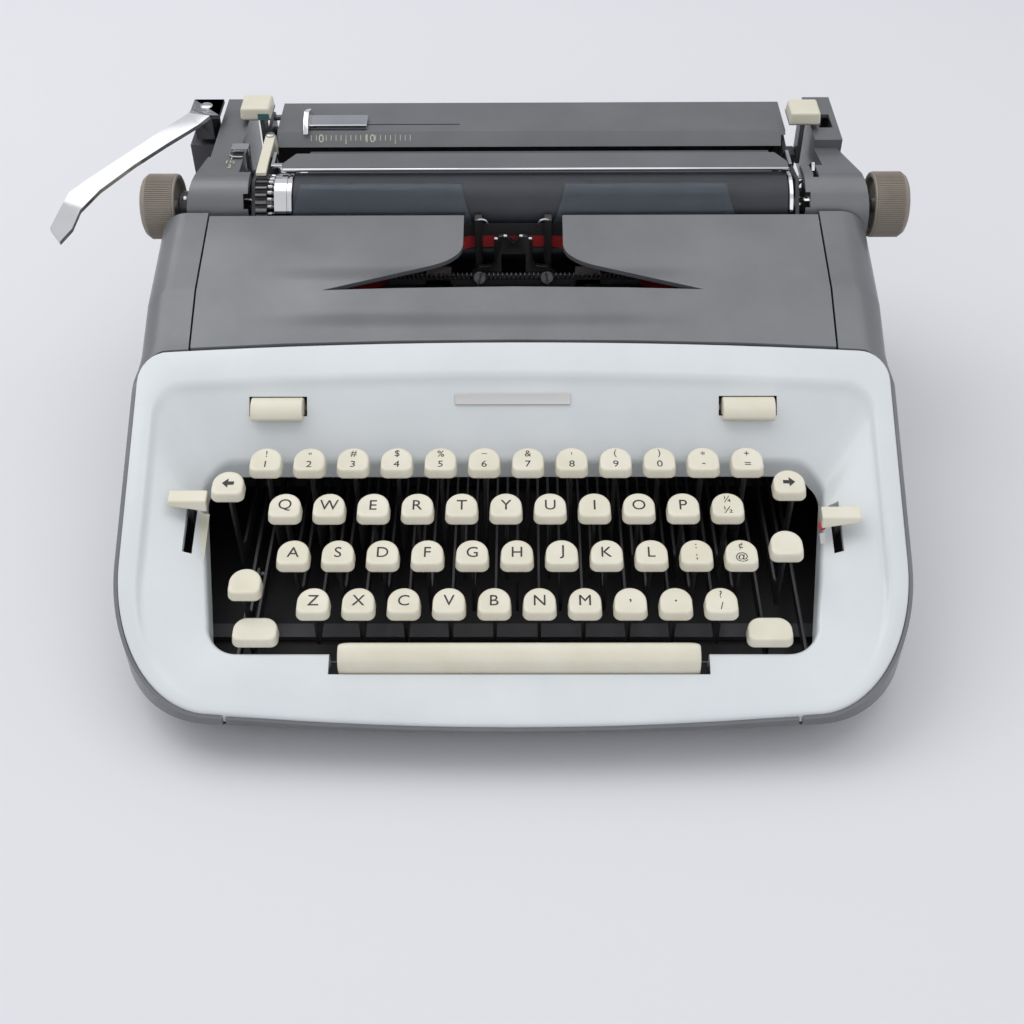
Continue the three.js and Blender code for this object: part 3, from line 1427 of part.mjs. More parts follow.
function carriageTruck() {
  const floor = block(truck_left_x, truck_right_x, truck_front_y, truck_rear_y, truck_bottom_z,
    truck_bottom_z + truck_wall);
  const lips = [truck_front_y, truck_rear_y - truck_lip_wall].map((y) => block(truck_left_x, truck_right_x, y,
    y + truck_lip_wall, truck_bottom_z - truck_lip, truck_bottom_z + gap));
  const plate_front_y = platen_y - platen_radius + end_wall;
  const outline = [[plate_front_y, end_bottom_z + end_wall],
    [feed_y + feed_radius + end_wall, end_bottom_z + end_wall],
    [truck_front_y, truck_bottom_z], [truck_rear_y, truck_bottom_z], [tie_y, tie_bottom_z],
    [table_hinge_y + table_pin_radius * 2, tie_bottom_z],
    ...arc(table_hinge_y, table_hinge_z, table_pin_radius * 2, 0, 90, 4),
    [table_hinge_y - table_pin_radius * 4, table_hinge_z + table_pin_radius * 1.6],
    [bail_pivot_y, platen_z + platen_radius / 2],
    [platen_y, platen_z + platen_radius - end_wall], [plate_front_y, platen_z]];
  const plates = [plate_left_x, plate_right_x].map((x) => alongX(outline, x, x + plate_wall));
  const tie = block(plate_left_x, plate_right_x + plate_wall, tie_y, tie_y + tie_depth, tie_bottom_z,
    tie_top_z);
  const tieFeet = [plate_left_x, plate_right_x + plate_wall - truck_wall * 4].map((x) => block(x,
    x + truck_wall * 4,
    truck_rear_y - truck_wall, tie_y + tie_depth, truck_bottom_z, tie_bottom_z + truck_wall));
  const shelf = block(post_left_x, plate_left_x + plate_wall, post_front_y, post_rear_y, truck_bottom_z,
    truck_bottom_z + truck_wall);
  const post = block(post_left_x, post_right_x, post_front_y, post_rear_y, truck_bottom_z, post_top_z)
    .add(alongZ(circle(return_pivot_x, return_pivot_y, return_boss_radius, round_side_count), truck_bottom_z,
      return_hub_z - running_gap));
  const link = block(truck_left_x, plate_left_x + plate_wall, truck_rear_y - truck_wall, post_rear_y,
    truck_bottom_z,
    truck_bottom_z + truck_wall);
  const stem_x = margin_right_x - gap - margin_stem_wall / 2 - gap;
  const marginGuide = block(plate_right_x, stem_x, margin_right_y - margin_stem_depth / 2,
    margin_right_y + margin_stem_depth / 2, margin_stem_bottom_z - overrun, margin_stem_bottom_z + overrun);
  const pinHole = alongZ(circle(return_pivot_x, return_pivot_y, return_pin_radius + gap, bore_side_count),
    post_top_z - overrun * 2, return_hub_z + overrun);
  const bores = [
    rodX(-body_half_width, body_half_width, platen_y, platen_z, shaft_radius + gap, bore_side_count),
    rodX(-body_half_width, body_half_width, feed_y, feedZ(), feed_shaft_radius + gap, bore_side_count),
    rodX(-body_half_width, body_half_width, bail_pivot_y, bail_pivot_z, bail_pin_radius + gap,
      bore_side_count),
    rodX(-body_half_width, body_half_width, table_hinge_y, table_hinge_z, table_pin_radius + gap,
      bore_side_count),
    rodX(-body_half_width, 0, detent_pivot_y, detent_pivot_z, bail_pin_radius + gap, bore_side_count),
    rodX(-body_half_width, 0, selector_pivot_y, selector_pivot_z, bail_pin_radius + gap, bore_side_count),
    rodX(0, body_half_width, paper_release_pivot_y, paper_release_pivot_z, bail_pin_radius + gap,
      bore_side_count),
  ];
  return cut(join(floor, ...lips, ...plates, tie, ...tieFeet, shelf, post, link, marginGuide), pinHole,
    ...bores);
}

function feedZ() {
  const reach = platen_radius + feed_radius + gap;
  return platen_z - Math.sqrt(reach * reach - (platen_y - feed_y) * (platen_y - feed_y));
}

function feedRoller() {
  const z = feedZ();
  const roll = rodX(feed_left_x, feed_right_x, feed_y, z, feed_radius, round_side_count);
  const rod = rodX(plate_left_x, plate_right_x + plate_wall, feed_y, z, feed_shaft_radius, bore_side_count);
  return roll.add(rod);
}

function paperPan() {
  const inner = platen_radius + pan_gap;
  const outer = inner + pan_wall;
  const rise = radians(pan_high_deg + 90);
  const section = [
    ...arc(platen_y, platen_z, outer, pan_low_deg, pan_high_deg - 40, 8),
    [pan_lip_y, pan_lip_z - pan_wall], [pan_lip_y, pan_lip_z],
    ...arc(platen_y, platen_z, inner, pan_high_deg - 28, pan_low_deg, 8),
  ];
  const tab = [
    ...arc(platen_y, platen_z, outer, pan_low_deg, pan_tab_deg, 4),
    ...arc(platen_y, platen_z, inner, pan_tab_deg, pan_low_deg, 4),
  ];
  const left = platen_left_x + pan_end_gap;
  const right = platen_right_x - pan_end_gap;
  return join(alongX(section, left, right),
    alongX(tab, plate_left_x + plate_wall + gap, plate_right_x - gap));
}

function paperTable() {
  const w = table_wall;
  const section = [[table_front_y, table_lip_z], [table_front_y + w, table_lip_z - w * 0.4],
    [table_fold_y + w * 0.6, table_top_z - w], [table_rear_y - w, table_top_z - w],
    [table_rear_y - w, table_hinge_z + table_pin_radius], [table_rear_y, table_hinge_z + table_pin_radius],
    [table_rear_y, table_top_z - w * 0.5], [table_rear_y - w * 0.5, table_top_z],
      [table_fold_y, table_top_z]];
  const top = alongX(section, table_left_x, table_right_x);
  const ears = [table_left_x + w, table_right_x - w * 6].map((x) => alongX([
    [table_hinge_y - table_pin_radius * 2, table_hinge_z - table_pin_radius * 1.6],
    [table_hinge_y + table_pin_radius * 2, table_hinge_z - table_pin_radius * 1.6],
    [table_hinge_y + table_pin_radius * 2, table_top_z - w / 2],
      [table_hinge_y - table_pin_radius * 2, table_top_z - w / 2],
  ], x, x + w));
  const pinLeft = rodX(plate_left_x, table_left_x + w * 1.5, table_hinge_y, table_hinge_z, table_pin_radius,
    bore_side_count);
  const pinRight = rodX(table_right_x - w * 6, plate_right_x + plate_wall, table_hinge_y, table_hinge_z,
    table_pin_radius, bore_side_count);
  const clear = block(plate_right_x - running_gap, plate_right_x + plate_wall + running_gap,
    table_front_y - overrun, table_rear_y + overrun, 0, table_top_z - w - gap / 2);
  return join(top.subtract(clear), ...ears, pinLeft, pinRight);
}

function paperGuide() {
  const z0 = table_top_z + gap;
  const slide = block(guide_slider_x, guide_slider_x + guide_slider_width, guide_slider_y,
    guide_slider_y + guide_slider_depth, z0, z0 + guide_slider_height);
  const fin = alongX([[guide_slider_y - guide_slider_depth * 0.5, z0],
    [guide_slider_y + guide_slider_depth * 1.6, z0],
    [guide_slider_y + guide_slider_depth * 1.4, z0 + guide_fin_height * 0.5],
    [guide_slider_y + guide_slider_depth * 0.6, z0 + guide_fin_height],
      [guide_slider_y, z0 + guide_fin_height * 0.7]],
  guide_slider_x - guide_slider_height, guide_slider_x + gap);
  return slide.add(fin);
}

function paperBail() {
  const strip = alongZ([[bail_left_x, bail_front_y], [bail_right_x, bail_front_y],
    [bail_right_x, bail_front_y + (bail_rear_y - bail_front_y) * 0.4],
      [bail_right_x - bail_wall * 3, bail_rear_y],
    [bail_left_x + bail_wall * 3, bail_rear_y],
      [bail_left_x, bail_front_y + (bail_rear_y - bail_front_y) * 0.4]],
  bail_bottom_z, bail_bottom_z + bail_wall);
  const arm = (x) => alongX([[bail_pivot_y - bail_pin_radius * 1.6, bail_pivot_z - bail_pin_radius * 1.6],
    [bail_pivot_y + bail_pin_radius * 1.6, bail_pivot_z - bail_pin_radius * 1.6],
    [bail_pivot_y + bail_pin_radius * 1.6, bail_pivot_z + bail_pin_radius],
    [bail_rear_y + bail_wall, bail_bottom_z + bail_wall],
      [bail_front_y + bail_wall * 2, bail_bottom_z + bail_wall],
    [bail_front_y + bail_wall * 2, bail_bottom_z], [bail_rear_y - bail_wall, bail_bottom_z]], x, x + sheet);
  const over = block(bail_arm_left_x, bail_arm_right_x + sheet, bail_front_y + bail_wall * 2,
    bail_front_y + (bail_rear_y - bail_front_y) * 0.4, bail_bottom_z, bail_bottom_z + bail_wall);
  const pinLeft = rodX(plate_left_x + gap, bail_arm_left_x + sheet / 2, bail_pivot_y, bail_pivot_z,
    bail_pin_radius, bore_side_count);
  const pinRight = rodX(bail_arm_right_x + sheet / 2, plate_right_x + plate_wall - gap, bail_pivot_y,
    bail_pivot_z,
    bail_pin_radius, bore_side_count);
  return join(strip, arm(bail_arm_left_x), arm(bail_arm_right_x), over, pinLeft, pinRight);
}

function detentLever() {
  const x0 = detent_left_x;
  const x1 = detent_left_x + detent_width;
  const w = sheet;
  const bar = alongX([[detent_tip_y, detent_tip_z], [detent_pivot_y - w * 2, detent_tip_z],
    [detent_pivot_y - w, detent_pivot_z - w],
    [detent_pivot_y + w * 1.6, detent_pivot_z - w], [detent_pivot_y + w * 1.6, detent_tip_z],
    [detent_pivot_y, detent_tip_z + w], [detent_tip_y, detent_tip_z + w]], x0, x1);
  const pin = rodX(plate_left_x, x0 + w, detent_pivot_y, detent_pivot_z, bail_pin_radius, bore_side_count);
  return bar.add(pin);
}

function lineSpaceSelector() {
  const x0 = selector_x;
  const x1 = selector_x + sheet;
  const blade = strapX(x0, x1, selector_pivot_y, selector_pivot_z, selector_tip_y, selector_tip_z,
    bail_pin_radius * 3);
  const handle = block(x1 - selector_handle, x1, selector_tip_y - bail_pin_radius * 1.5,
    selector_tip_y + bail_pin_radius * 1.5, selector_tip_z - sheet / 2, selector_tip_z + sheet / 2);
  const pin = rodX(x0, plate_left_x + plate_wall, selector_pivot_y, selector_pivot_z, bail_pin_radius,
    bore_side_count);
  return join(blade, handle, pin);
}

function paperReleaseLever() {
  const x0 = paper_release_x;
  const x1 = paper_release_x + sheet;
  const blade = strapX(x0, x1, paper_release_pivot_y, paper_release_pivot_z, paper_release_tip_y,
    paper_release_tip_z, bail_pin_radius * 2.4);
  const pin = rodX(plate_right_x, x1, paper_release_pivot_y, paper_release_pivot_z, bail_pin_radius,
    bore_side_count);
  return join(blade, pin);
}

function marginKey(x, y, stem_x) {
  const top = margin_bottom_z + margin_height;
  const cap = block(x - margin_width / 2, x + margin_width / 2, y - margin_depth / 2, y + margin_depth / 2,
    margin_bottom_z, top);
  const stem = block(stem_x - margin_stem_wall / 2, stem_x + margin_stem_wall / 2, y - margin_stem_depth / 2,
    y + margin_stem_depth / 2, margin_stem_bottom_z, margin_bottom_z + gap);
  return cap.add(stem);
}

// Return lever: a chrome band that leaves the hub, bends forward and curls down at its end.
function returnLever() {
  // The band's upper and lower edge at each station, as shares of its reach from the pivot.
  const edge_shares = [
    [[-0.065, -0.02, 0.02], [0.03, -0.09, 0.02]],
    [[-0.075, -0.09, 0.036], [-0.02, -0.155, 0.005]],
    [[-0.2, -0.31, 0.038], [-0.145, -0.345, 0.004]],
    [[-0.32, -0.52, 0.037], [-0.269, -0.55, 0.003]],
    [[-0.445, -0.735, 0.036], [-0.39, -0.767, -0.006]],
    [[-0.51, -0.85, 0.03], [-0.46, -0.895, -0.035]],
    [[-0.555, -0.915, -0.028], [-0.495, -0.965, -0.092]],
    [[-0.605, -0.95, -0.1], [-0.555, -1.005, -0.14]],
  ];
  const at = ([x, y, z]) => [return_pivot_x + x * return_reach, return_pivot_y + y * return_reach,
    return_hub_z + z * return_reach];
  const sides = 4;
  const position = edge_shares.flatMap(([high, low]) => {
    const [a, b] = [at(high), at(low)];
    return [a[0], a[1], a[2] - return_thickness, b[0], b[1], b[2] - return_thickness, ...b, ...a];
  });
  const index = [];
  for (let s = 0; s < edge_shares.length - 1; s++) {
    index.push(...bandFaces(s * sides, (s + 1) * sides, sides));
  }
  const last = (edge_shares.length - 1) * sides;
  index.push(0, 2, 1, 0, 3, 2, last, last + 1, last + 2, last, last + 2, last + 3);
  const band = solidOf(position, index);
  const left = return_pivot_x - return_hub_width / 2;
  const right = return_pivot_x + return_hub_width / 2;
  const front_y = return_pivot_y - return_hub_front;
  const top = return_hub_z + return_thickness;
  const hub_plate = block(left, right, front_y, return_pivot_y + return_hub_front, return_hub_z, top);
  const wall_bottom_z = return_hub_z - return_hub_wall;
  const wall = block(left + return_thickness, return_pivot_x + return_wall_reach, front_y,
    front_y + return_thickness, wall_bottom_z, top);
  const pin = alongZ(circle(return_pivot_x, return_pivot_y, return_pin_radius, bore_side_count),
    post_top_z - overrun, top);
  return join(band, hub_plate, wall, pin);
}

function carriageRail() {
  const y0 = truck_front_y + truck_lip_wall + gap;
  const y1 = truck_rear_y - truck_lip_wall - gap;
  const top = truck_bottom_z - gap;
  const rail = block(-rail_half_length, rail_half_length, y0, y1, top - rail_height, top);
  const hollow = block(-rail_half_length - overrun, rail_half_length + overrun, y0 + rail_wall,
    y1 - rail_wall,
    top - rail_height + rail_wall, top - rail_wall);
  return rail.subtract(hollow);
}

// Assembly: fixed pieces
addPiece(machine, 'base_pan', basePan(), grey_paint);
addPiece(machine, 'body_shell', bodyShell(), grey_paint);
addPiece(machine, 'keyboard_bezel', bezel(), white_paint);
[['front_left', -1, -1], ['front_right', 1, -1], ['rear_left', -1, 1],
  ['rear_right', 1, 1]].forEach(([place, sx, sy]) => {
  const x = sx * (body_half_width - foot_inset_x);
  const y = sy < 0 ? body_front_y + foot_inset_y : body_rear_y - foot_inset_y;
  const foot = alongZ(circle(x, y, foot_radius, round_side_count), 0, body_bottom_z - gap);
  addPiece(machine, `foot_${place}`, foot, foot_rubber);
});
addPiece(machine, 'main_frame', mainFrame(), dark_metal);
addPiece(machine, 'carriage_rail', carriageRail(), steel);
addPiece(machine, 'fulcrum_rod', rodX(-frame_x - frame_wall, frame_x + frame_wall, fulcrum_y, fulcrum_z,
  fulcrum_radius, bore_side_count), steel);
addPiece(machine, 'type_guide', typeGuide(), dark_metal);
addPiece(machine, 'card_holder_left', cardHolder(-1), clear_plastic);
addPiece(machine, 'card_holder_right', cardHolder(1), clear_plastic);

// Assembly: ribbon cover and ribbon gear
const cover = movingGroup(machine, 'ribbon_cover', 0, cover_hinge_y, cover_hinge_z);
addPiece(cover, 'ribbon_cover', ribbonCover(), grey_paint);
const vibrator = movingGroup(machine, 'ribbon_vibrator', 0, vibrator_y, vibrator_bottom_z);
addPiece(vibrator, 'ribbon_vibrator', ribbonVibrator(), steel);
addPiece(vibrator, 'ribbon', ribbon(), ribbon_cloth);
[['left', -1], ['right', 1]].forEach(([side, hand]) => {
  const turning = movingGroup(machine, `spool_${side}`, hand * spool_x, spool_y, spool_bottom_z);
  addPiece(turning, `spool_${side}`, spool(hand), dark_metal);
});
const segment = movingGroup(machine, 'type_segment', 0, segment_y, segment_z);
addPiece(segment, 'type_segment', typeSegment(), dark_metal);

// Assembly: keyboard
const places = keyPlaces();
for (let first = 0; first < places.length; first += levers_per_pitch_count) {
  const number = String(first / levers_per_pitch_count + 1).padStart(2, '0');
  const keys = places.slice(first, first + levers_per_pitch_count);
  const turning = movingGroup(machine, `key_set_${number}`, 0, fulcrum_y, fulcrum_z);
  addPiece(turning, `key_set_${number}`, keySet(keys), cream_plastic);
}
function addFunctionKey(name, solid) {
  const turning = movingGroup(machine, name, 0, fulcrum_y, fulcrum_z);
  addPiece(turning, name, solid, cream_plastic);
  return turning;
}
addFunctionKey('space_bar', spaceBar());
const shift = addFunctionKey('shift_key_left', shiftLeft());
addFunctionKey('shift_key_right', functionKey(shift_right_x, shift_right_lever_x, shift_cap_y,
  shift_cap_top_z,
  shift_cap_width, shift_cap_depth));
addFunctionKey('backspace_key', functionKey(backspace_x, backspace_x, backspace_y, backspace_top_z));
addFunctionKey('tab_key', functionKey(tab_x, tab_lever_x, tab_y, tab_top_z));
addFunctionKey('margin_release_key', functionKey(release_x, release_x, release_y, release_top_z));
const lock = movingGroup(shift, 'shift_lock', 0, lock_pivot_y, fulcrum_z);
addPiece(lock, 'shift_lock', shiftLock(), cream_plastic);
[['column_clear_key', rocker_left_x], ['column_set_key', rocker_right_x]].forEach(([name, x]) => {
  const [y, z] = panelPlace(rocker_slot_y, 0, -rocker_pin_depth);
  const turning = movingGroup(machine, name, x, y, z);
  addPiece(turning, name, rocker(x), cream_plastic);
});
[['touch_lever', -1, touch_angle_deg], ['ribbon_selector', 1, selector_angle_deg]].forEach(([name, side,
  turn]) => {
  const turning = movingGroup(machine, name, side * side_slot_x, side_pivot_y, side_pivot_z);
  addPiece(turning, name, sideLever(side, turn), cream_plastic);
});

// Assembly: carriage
const carriage = movingGroup(machine, 'carriage', 0, platen_y, platen_z);
addPiece(carriage, 'carriage_truck', carriageTruck(), dark_metal);
addPiece(carriage, 'left_end_cover', leftEndCover(), grey_paint);
addPiece(carriage, 'right_end_cover', rightEndCover(), grey_paint);
addPiece(carriage, 'paper_pan', paperPan(), dark_metal);
const spin = movingGroup(carriage, 'platen', 0, platen_y, platen_z);
addPiece(spin, 'platen', platen(), platen_rubber);
addPiece(spin, 'platen_shaft', shaft(), chrome);
addPiece(spin, 'left_knob', knob(knob_left_x, knob_left_x + knob_width, 1), taupe_plastic);
addPiece(spin, 'right_knob', knob(knob_right_x - knob_width, knob_right_x, -1), taupe_plastic);
addPiece(spin, 'line_space_ratchet', lineSpaceWheel(), steel);
const feed = movingGroup(carriage, 'feed_roller', 0, feed_y, feedZ());
addPiece(feed, 'feed_roller', feedRoller(), platen_rubber);
const table = movingGroup(carriage, 'paper_table', 0, table_hinge_y, table_hinge_z);
addPiece(table, 'paper_table', paperTable(), grey_paint);
const slider = movingGroup(table, 'paper_guide', guide_slider_x, guide_slider_y, table_top_z);
addPiece(slider, 'paper_guide', paperGuide(), chrome);
const bail = movingGroup(carriage, 'paper_bail', 0, bail_pivot_y, bail_pivot_z);
addPiece(bail, 'paper_bail', paperBail(), grey_paint);
const returning = movingGroup(carriage, 'return_lever', return_pivot_x, return_pivot_y, return_hub_z);
addPiece(returning, 'return_lever', returnLever(), chrome);
const detent = movingGroup(carriage, 'platen_release_lever', 0, detent_pivot_y, detent_pivot_z);
addPiece(detent, 'platen_release_lever', detentLever(), cream_plastic);
const spacing = movingGroup(carriage, 'line_space_selector', 0, selector_pivot_y, selector_pivot_z);
addPiece(spacing, 'line_space_selector', lineSpaceSelector(), chrome);
const paperRelease = movingGroup(carriage, 'paper_release_lever', 0, paper_release_pivot_y,
  paper_release_pivot_z);
addPiece(paperRelease, 'paper_release_lever', paperReleaseLever(), chrome);
const marginLeft = movingGroup(carriage, 'margin_key_left', margin_left_x, margin_left_y, margin_bottom_z);
addPiece(marginLeft, 'margin_key_left', marginKey(margin_left_x, margin_left_y, margin_left_x + overrun / 2),
  cream_plastic);
const marginRight = movingGroup(carriage, 'margin_key_right', margin_right_x, margin_right_y,
  margin_bottom_z);
addPiece(marginRight, 'margin_key_right', marginKey(margin_right_x, margin_right_y, margin_right_x - gap),
  cream_plastic);

// The part's own origin is the middle of its box at the table top.
const box = new THREE.Box3().setFromObject(machine);
const middle = box.getCenter(new THREE.Vector3());
machine.position.set(-middle.x, -middle.y, -box.min.z);
const group = new THREE.Group();
group.add(machine);

export default group;
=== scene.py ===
import math

import bmesh
import bpy
from mathutils import Matrix, Vector


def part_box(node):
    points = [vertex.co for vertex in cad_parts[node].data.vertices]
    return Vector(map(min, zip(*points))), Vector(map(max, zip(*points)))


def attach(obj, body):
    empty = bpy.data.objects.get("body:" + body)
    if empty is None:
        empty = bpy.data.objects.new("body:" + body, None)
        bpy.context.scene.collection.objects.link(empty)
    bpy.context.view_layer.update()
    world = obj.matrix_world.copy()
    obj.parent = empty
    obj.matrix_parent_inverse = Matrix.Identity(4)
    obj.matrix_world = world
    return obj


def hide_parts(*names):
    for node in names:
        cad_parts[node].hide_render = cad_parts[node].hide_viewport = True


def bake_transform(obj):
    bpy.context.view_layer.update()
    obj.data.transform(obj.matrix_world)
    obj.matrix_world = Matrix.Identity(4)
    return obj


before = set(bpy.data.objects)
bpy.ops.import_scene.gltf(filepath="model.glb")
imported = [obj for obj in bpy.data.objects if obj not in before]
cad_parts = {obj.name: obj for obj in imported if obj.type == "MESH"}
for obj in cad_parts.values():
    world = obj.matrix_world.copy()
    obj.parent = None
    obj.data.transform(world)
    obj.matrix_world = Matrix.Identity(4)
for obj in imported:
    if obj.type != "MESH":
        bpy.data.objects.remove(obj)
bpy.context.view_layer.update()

# Camera and studio. The camera stands where the photograph was taken from, in front of the keyboard and
# looking down at it. Places here and below are millimetres from the machine's middle plane, from the first
# key row's centre line and from the table top, and place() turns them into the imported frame's metres.
shell_low, shell_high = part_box("body_shell")
shell_rear_y = 212
millimetre = 0.001
machine_origin = Vector(((shell_low.x + shell_high.x) / 2, shell_high.y - shell_rear_y * millimetre, 0))


def place(x, y, z):
    return Vector((x, y, z)) * millimetre + machine_origin


camera_place = (5.1, -447.7, 481.5)
camera_down, camera_yaw, camera_roll = (math.radians(a) for a in (43.96, -0.70, -0.55))
sensor_width = 36
focal_pixels, picture_pixels = 1378, 1024
looking = Vector((math.sin(camera_yaw) * math.cos(camera_down),
                  math.cos(camera_yaw) * math.cos(camera_down), -math.sin(camera_down)))
level_right = Vector((math.cos(camera_yaw), -math.sin(camera_yaw), 0))
level_up = level_right.cross(looking)
right = level_right * math.cos(camera_roll) + level_up * math.sin(camera_roll)
up = level_up * math.cos(camera_roll) - level_right * math.sin(camera_roll)
camera = bpy.data.objects.new("camera", bpy.data.cameras.new("camera"))
bpy.context.scene.collection.objects.link(camera)
camera.data.sensor_width = sensor_width
camera.data.lens = sensor_width * focal_pixels / picture_pixels
camera.data.clip_start, camera.data.clip_end = 0.01, 20
camera_turn = Matrix((right, up, -looking)).transposed().to_4x4()
camera.matrix_world = Matrix.Translation(place(*camera_place)) @ camera_turn
bpy.context.scene.camera = camera
bpy.context.scene.view_settings.view_transform = "Standard"

floor_reach, floor_rise = 3.0, 2.4
floor_bend, floor_steps = 0.8, 12
profile = [(-floor_reach, 0.0)]
for i in range(floor_steps + 1):
    turn = math.pi / 2 * i / floor_steps
    profile.append((floor_reach - floor_bend + floor_bend * math.sin(turn),
                    floor_bend * (1 - math.cos(turn))))
profile.append((floor_reach, floor_rise))
floor_mesh = bpy.data.meshes.new("floor")
floor_mesh.from_pydata([(s * floor_reach, y, z) for y, z in profile for s in (-1, 1)], [],
                       [(2 * i, 2 * i + 1, 2 * i + 3, 2 * i + 2) for i in range(len(profile) - 1)])
floor_mesh.shade_smooth()
floor = bpy.data.objects.new("floor", floor_mesh)
bpy.context.scene.collection.objects.link(floor)


def added(tree, kind, values=(), **settings):
    """A new node in a tree, with its settings and, by name, the values of its inputs."""
    made = tree.nodes.new(kind)
    for key, value in settings.items():
        setattr(made, key, value)
    for key, value in dict(values).items():
        made.inputs[key].default_value = value
    return made


def linked(tree, *links):
    """Links nodes, each link being a node and its output and a node and its input."""
    for source, out, target, into in links:
        tree.links.new(source.outputs[out], target.inputs[into])


def material_tree(name, values=()):
    """A new material with its node tree and its shader, whose inputs get values by name."""
    material = bpy.data.materials.new(name)
    material.use_nodes = True
    shader = material.node_tree.nodes["Principled BSDF"]
    for key, value in dict(values).items():
        shader.inputs[key].default_value = value
    return material, material.node_tree, shader


floor_paint, floor_tree, floor_shader = material_tree("floor_paint", {"Roughness": 0.9})
floor_noise = added(floor_tree, "ShaderNodeTexNoise", {"Scale": 1.5})
floor_ramp = added(floor_tree, "ShaderNodeValToRGB")
floor_ramp.color_ramp.elements[0].color = (0.80, 0.80, 0.83, 1)
floor_ramp.color_ramp.elements[1].color = (0.84, 0.84, 0.86, 1)
linked(floor_tree, (floor_noise, "Fac", floor_ramp, "Fac"),
       (floor_ramp, "Color", floor_shader, "Base Color"))
floor_mesh.materials.append(floor_paint)

world = bpy.data.worlds.new("studio")
bpy.context.scene.world = world
world.use_nodes = True
studio = world.node_tree
room = studio.nodes["Background"]
room.inputs["Color"].default_value = (0.93, 0.95, 1.0, 1)
room.inputs["Strength"].default_value = 0.58
backdrop = added(studio, "ShaderNodeBackground", {"Color": (0.92, 0.92, 0.95, 1)})
rays = added(studio, "ShaderNodeLightPath")
seen = added(studio, "ShaderNodeMixShader")
shown, shown_as = rays, "Is Camera Ray"
for ray in ("Is Glossy Ray", "Is Transmission Ray"):
    either = added(studio, "ShaderNodeMath", operation="MAXIMUM")
    linked(studio, (shown, shown_as, either, 0), (rays, ray, either, 1))
    shown, shown_as = either, "Value"
linked(studio, (shown, shown_as, seen, "Fac"), (room, "Background", seen, 1),
       (backdrop, "Background", seen, 2), (seen, "Shader", studio.nodes["World Output"], "Surface"))

lamps = {
    "window_left": ((-900, 500, 1500), 1.2, 8.6),
    "ceiling": ((300, 300, 1900), 1.6, 7.4),
    "front_fill": ((500, -1500, 1100), 1.4, 2.8),
}
for name, (lamp_place, lamp_size, watts) in lamps.items():
    light = bpy.data.lights.new(name, "AREA")
    light.size, light.energy = lamp_size, watts
    lamp = bpy.data.objects.new(name, light)
    lamp.location = place(*lamp_place)
    lamp.rotation_euler = (place(0, 60, 80) - lamp.location).to_track_quat("-Z", "Y").to_euler()
    bpy.context.scene.collection.objects.link(lamp)

# Base pan: the pressed steel floor of the machine, with a folded wall and the strip that closes the casing
# under the keyboard. It is sprayed grey outside and black inside, and screwed up into the casing.
def surface(name, light, dark, grain, rough, bump, metallic=0.0, coat=0.0, stretch=(1, 1, 1), edge=None):
    """A material mottled between two colours, with noise in its gloss, a fine grit in its relief and, when
    an edge colour is given, a painted highlight in it on sharp convex edges.
    """
    material, tree, shader = material_tree(name, {"Metallic": metallic, "Coat Weight": coat,
                                                  "Coat Roughness": 0.12})
    coordinates = added(tree, "ShaderNodeTexCoord")
    spread = added(tree, "ShaderNodeMapping", {"Scale": stretch})
    linked(tree, (coordinates, "Object", spread, "Vector"))
    noises = []
    for scale, detail in ((grain, 4), (grain * 7, 3), (grain * 26, 2)):
        noises.append(added(tree, "ShaderNodeTexNoise", {"Scale": scale, "Detail": detail}))
        linked(tree, (spread, "Vector", noises[-1], "Vector"))
    mottle, haze, grit = noises
    tint = added(tree, "ShaderNodeValToRGB", name="tint")
    low, high = tint.color_ramp.elements
    low.position, high.position = 0.3, 0.7
    low.color, high.color = (*dark, 1), (*light, 1)
    colour, colour_as = tint, "Color"
    # An edge colour is a painted highlight: it is mixed in where pointiness marks sharp convex edges, so
    # those edges look as if they catch the light.
    if edge:
        corner = added(tree, "ShaderNodeNewGeometry")
        painted_edge_highlight = added(tree, "ShaderNodeMapRange", {"From Min": 0.52, "From Max": 0.62})
        colour, colour_as = added(tree, "ShaderNodeMix", data_type="RGBA"), "Result"
        colour.inputs["B"].default_value = (*edge, 1)
        linked(tree, (corner, "Pointiness", painted_edge_highlight, "Value"), (painted_edge_highlight, "Result", colour, "Factor"),
               (tint, "Color", colour, "A"))
    gloss = added(tree, "ShaderNodeMapRange", {"To Min": rough[0], "To Max": rough[1]})
    relief = added(tree, "ShaderNodeBump", {"Strength": 0.35, "Distance": bump * millimetre})
    linked(tree, (mottle, "Fac", tint, "Fac"), (colour, colour_as, shader, "Base Color"),
           (haze, "Fac", gloss, "Value"), (gloss, "Result", shader, "Roughness"),
           (grit, "Fac", relief, "Height"), (relief, "Normal", shader, "Normal"))
    return material


def shape_of(name, build):
    shape = bmesh.new()
    build(shape)
    mesh = bpy.data.meshes.new(name)
    shape.to_mesh(mesh)
    shape.free()
    return mesh


def placed_object(name, data):
    """An object of a mesh or curve, in the scene at the origin."""
    made = bpy.data.objects.new(name, data)
    bpy.context.scene.collection.objects.link(made)
    return made


def finished_mesh(work):
    """The mesh of an object after its modifiers. The object is removed."""
    bpy.context.view_layer.update()
    result = bpy.data.meshes.new_from_object(work.evaluated_get(bpy.context.evaluated_depsgraph_get()))
    bpy.data.objects.remove(work)
    return result


def with_modifiers(mesh, *steps):
    """The mesh after modifiers, each given as its type and its settings."""
    work = placed_object("work", mesh)
    for kind, settings in steps:
        modifier = work.modifiers.new(kind.lower(), kind)
        for key, value in settings.items():
            setattr(modifier, key, value)
    result = finished_mesh(work)
    result.name = mesh.name
    return result


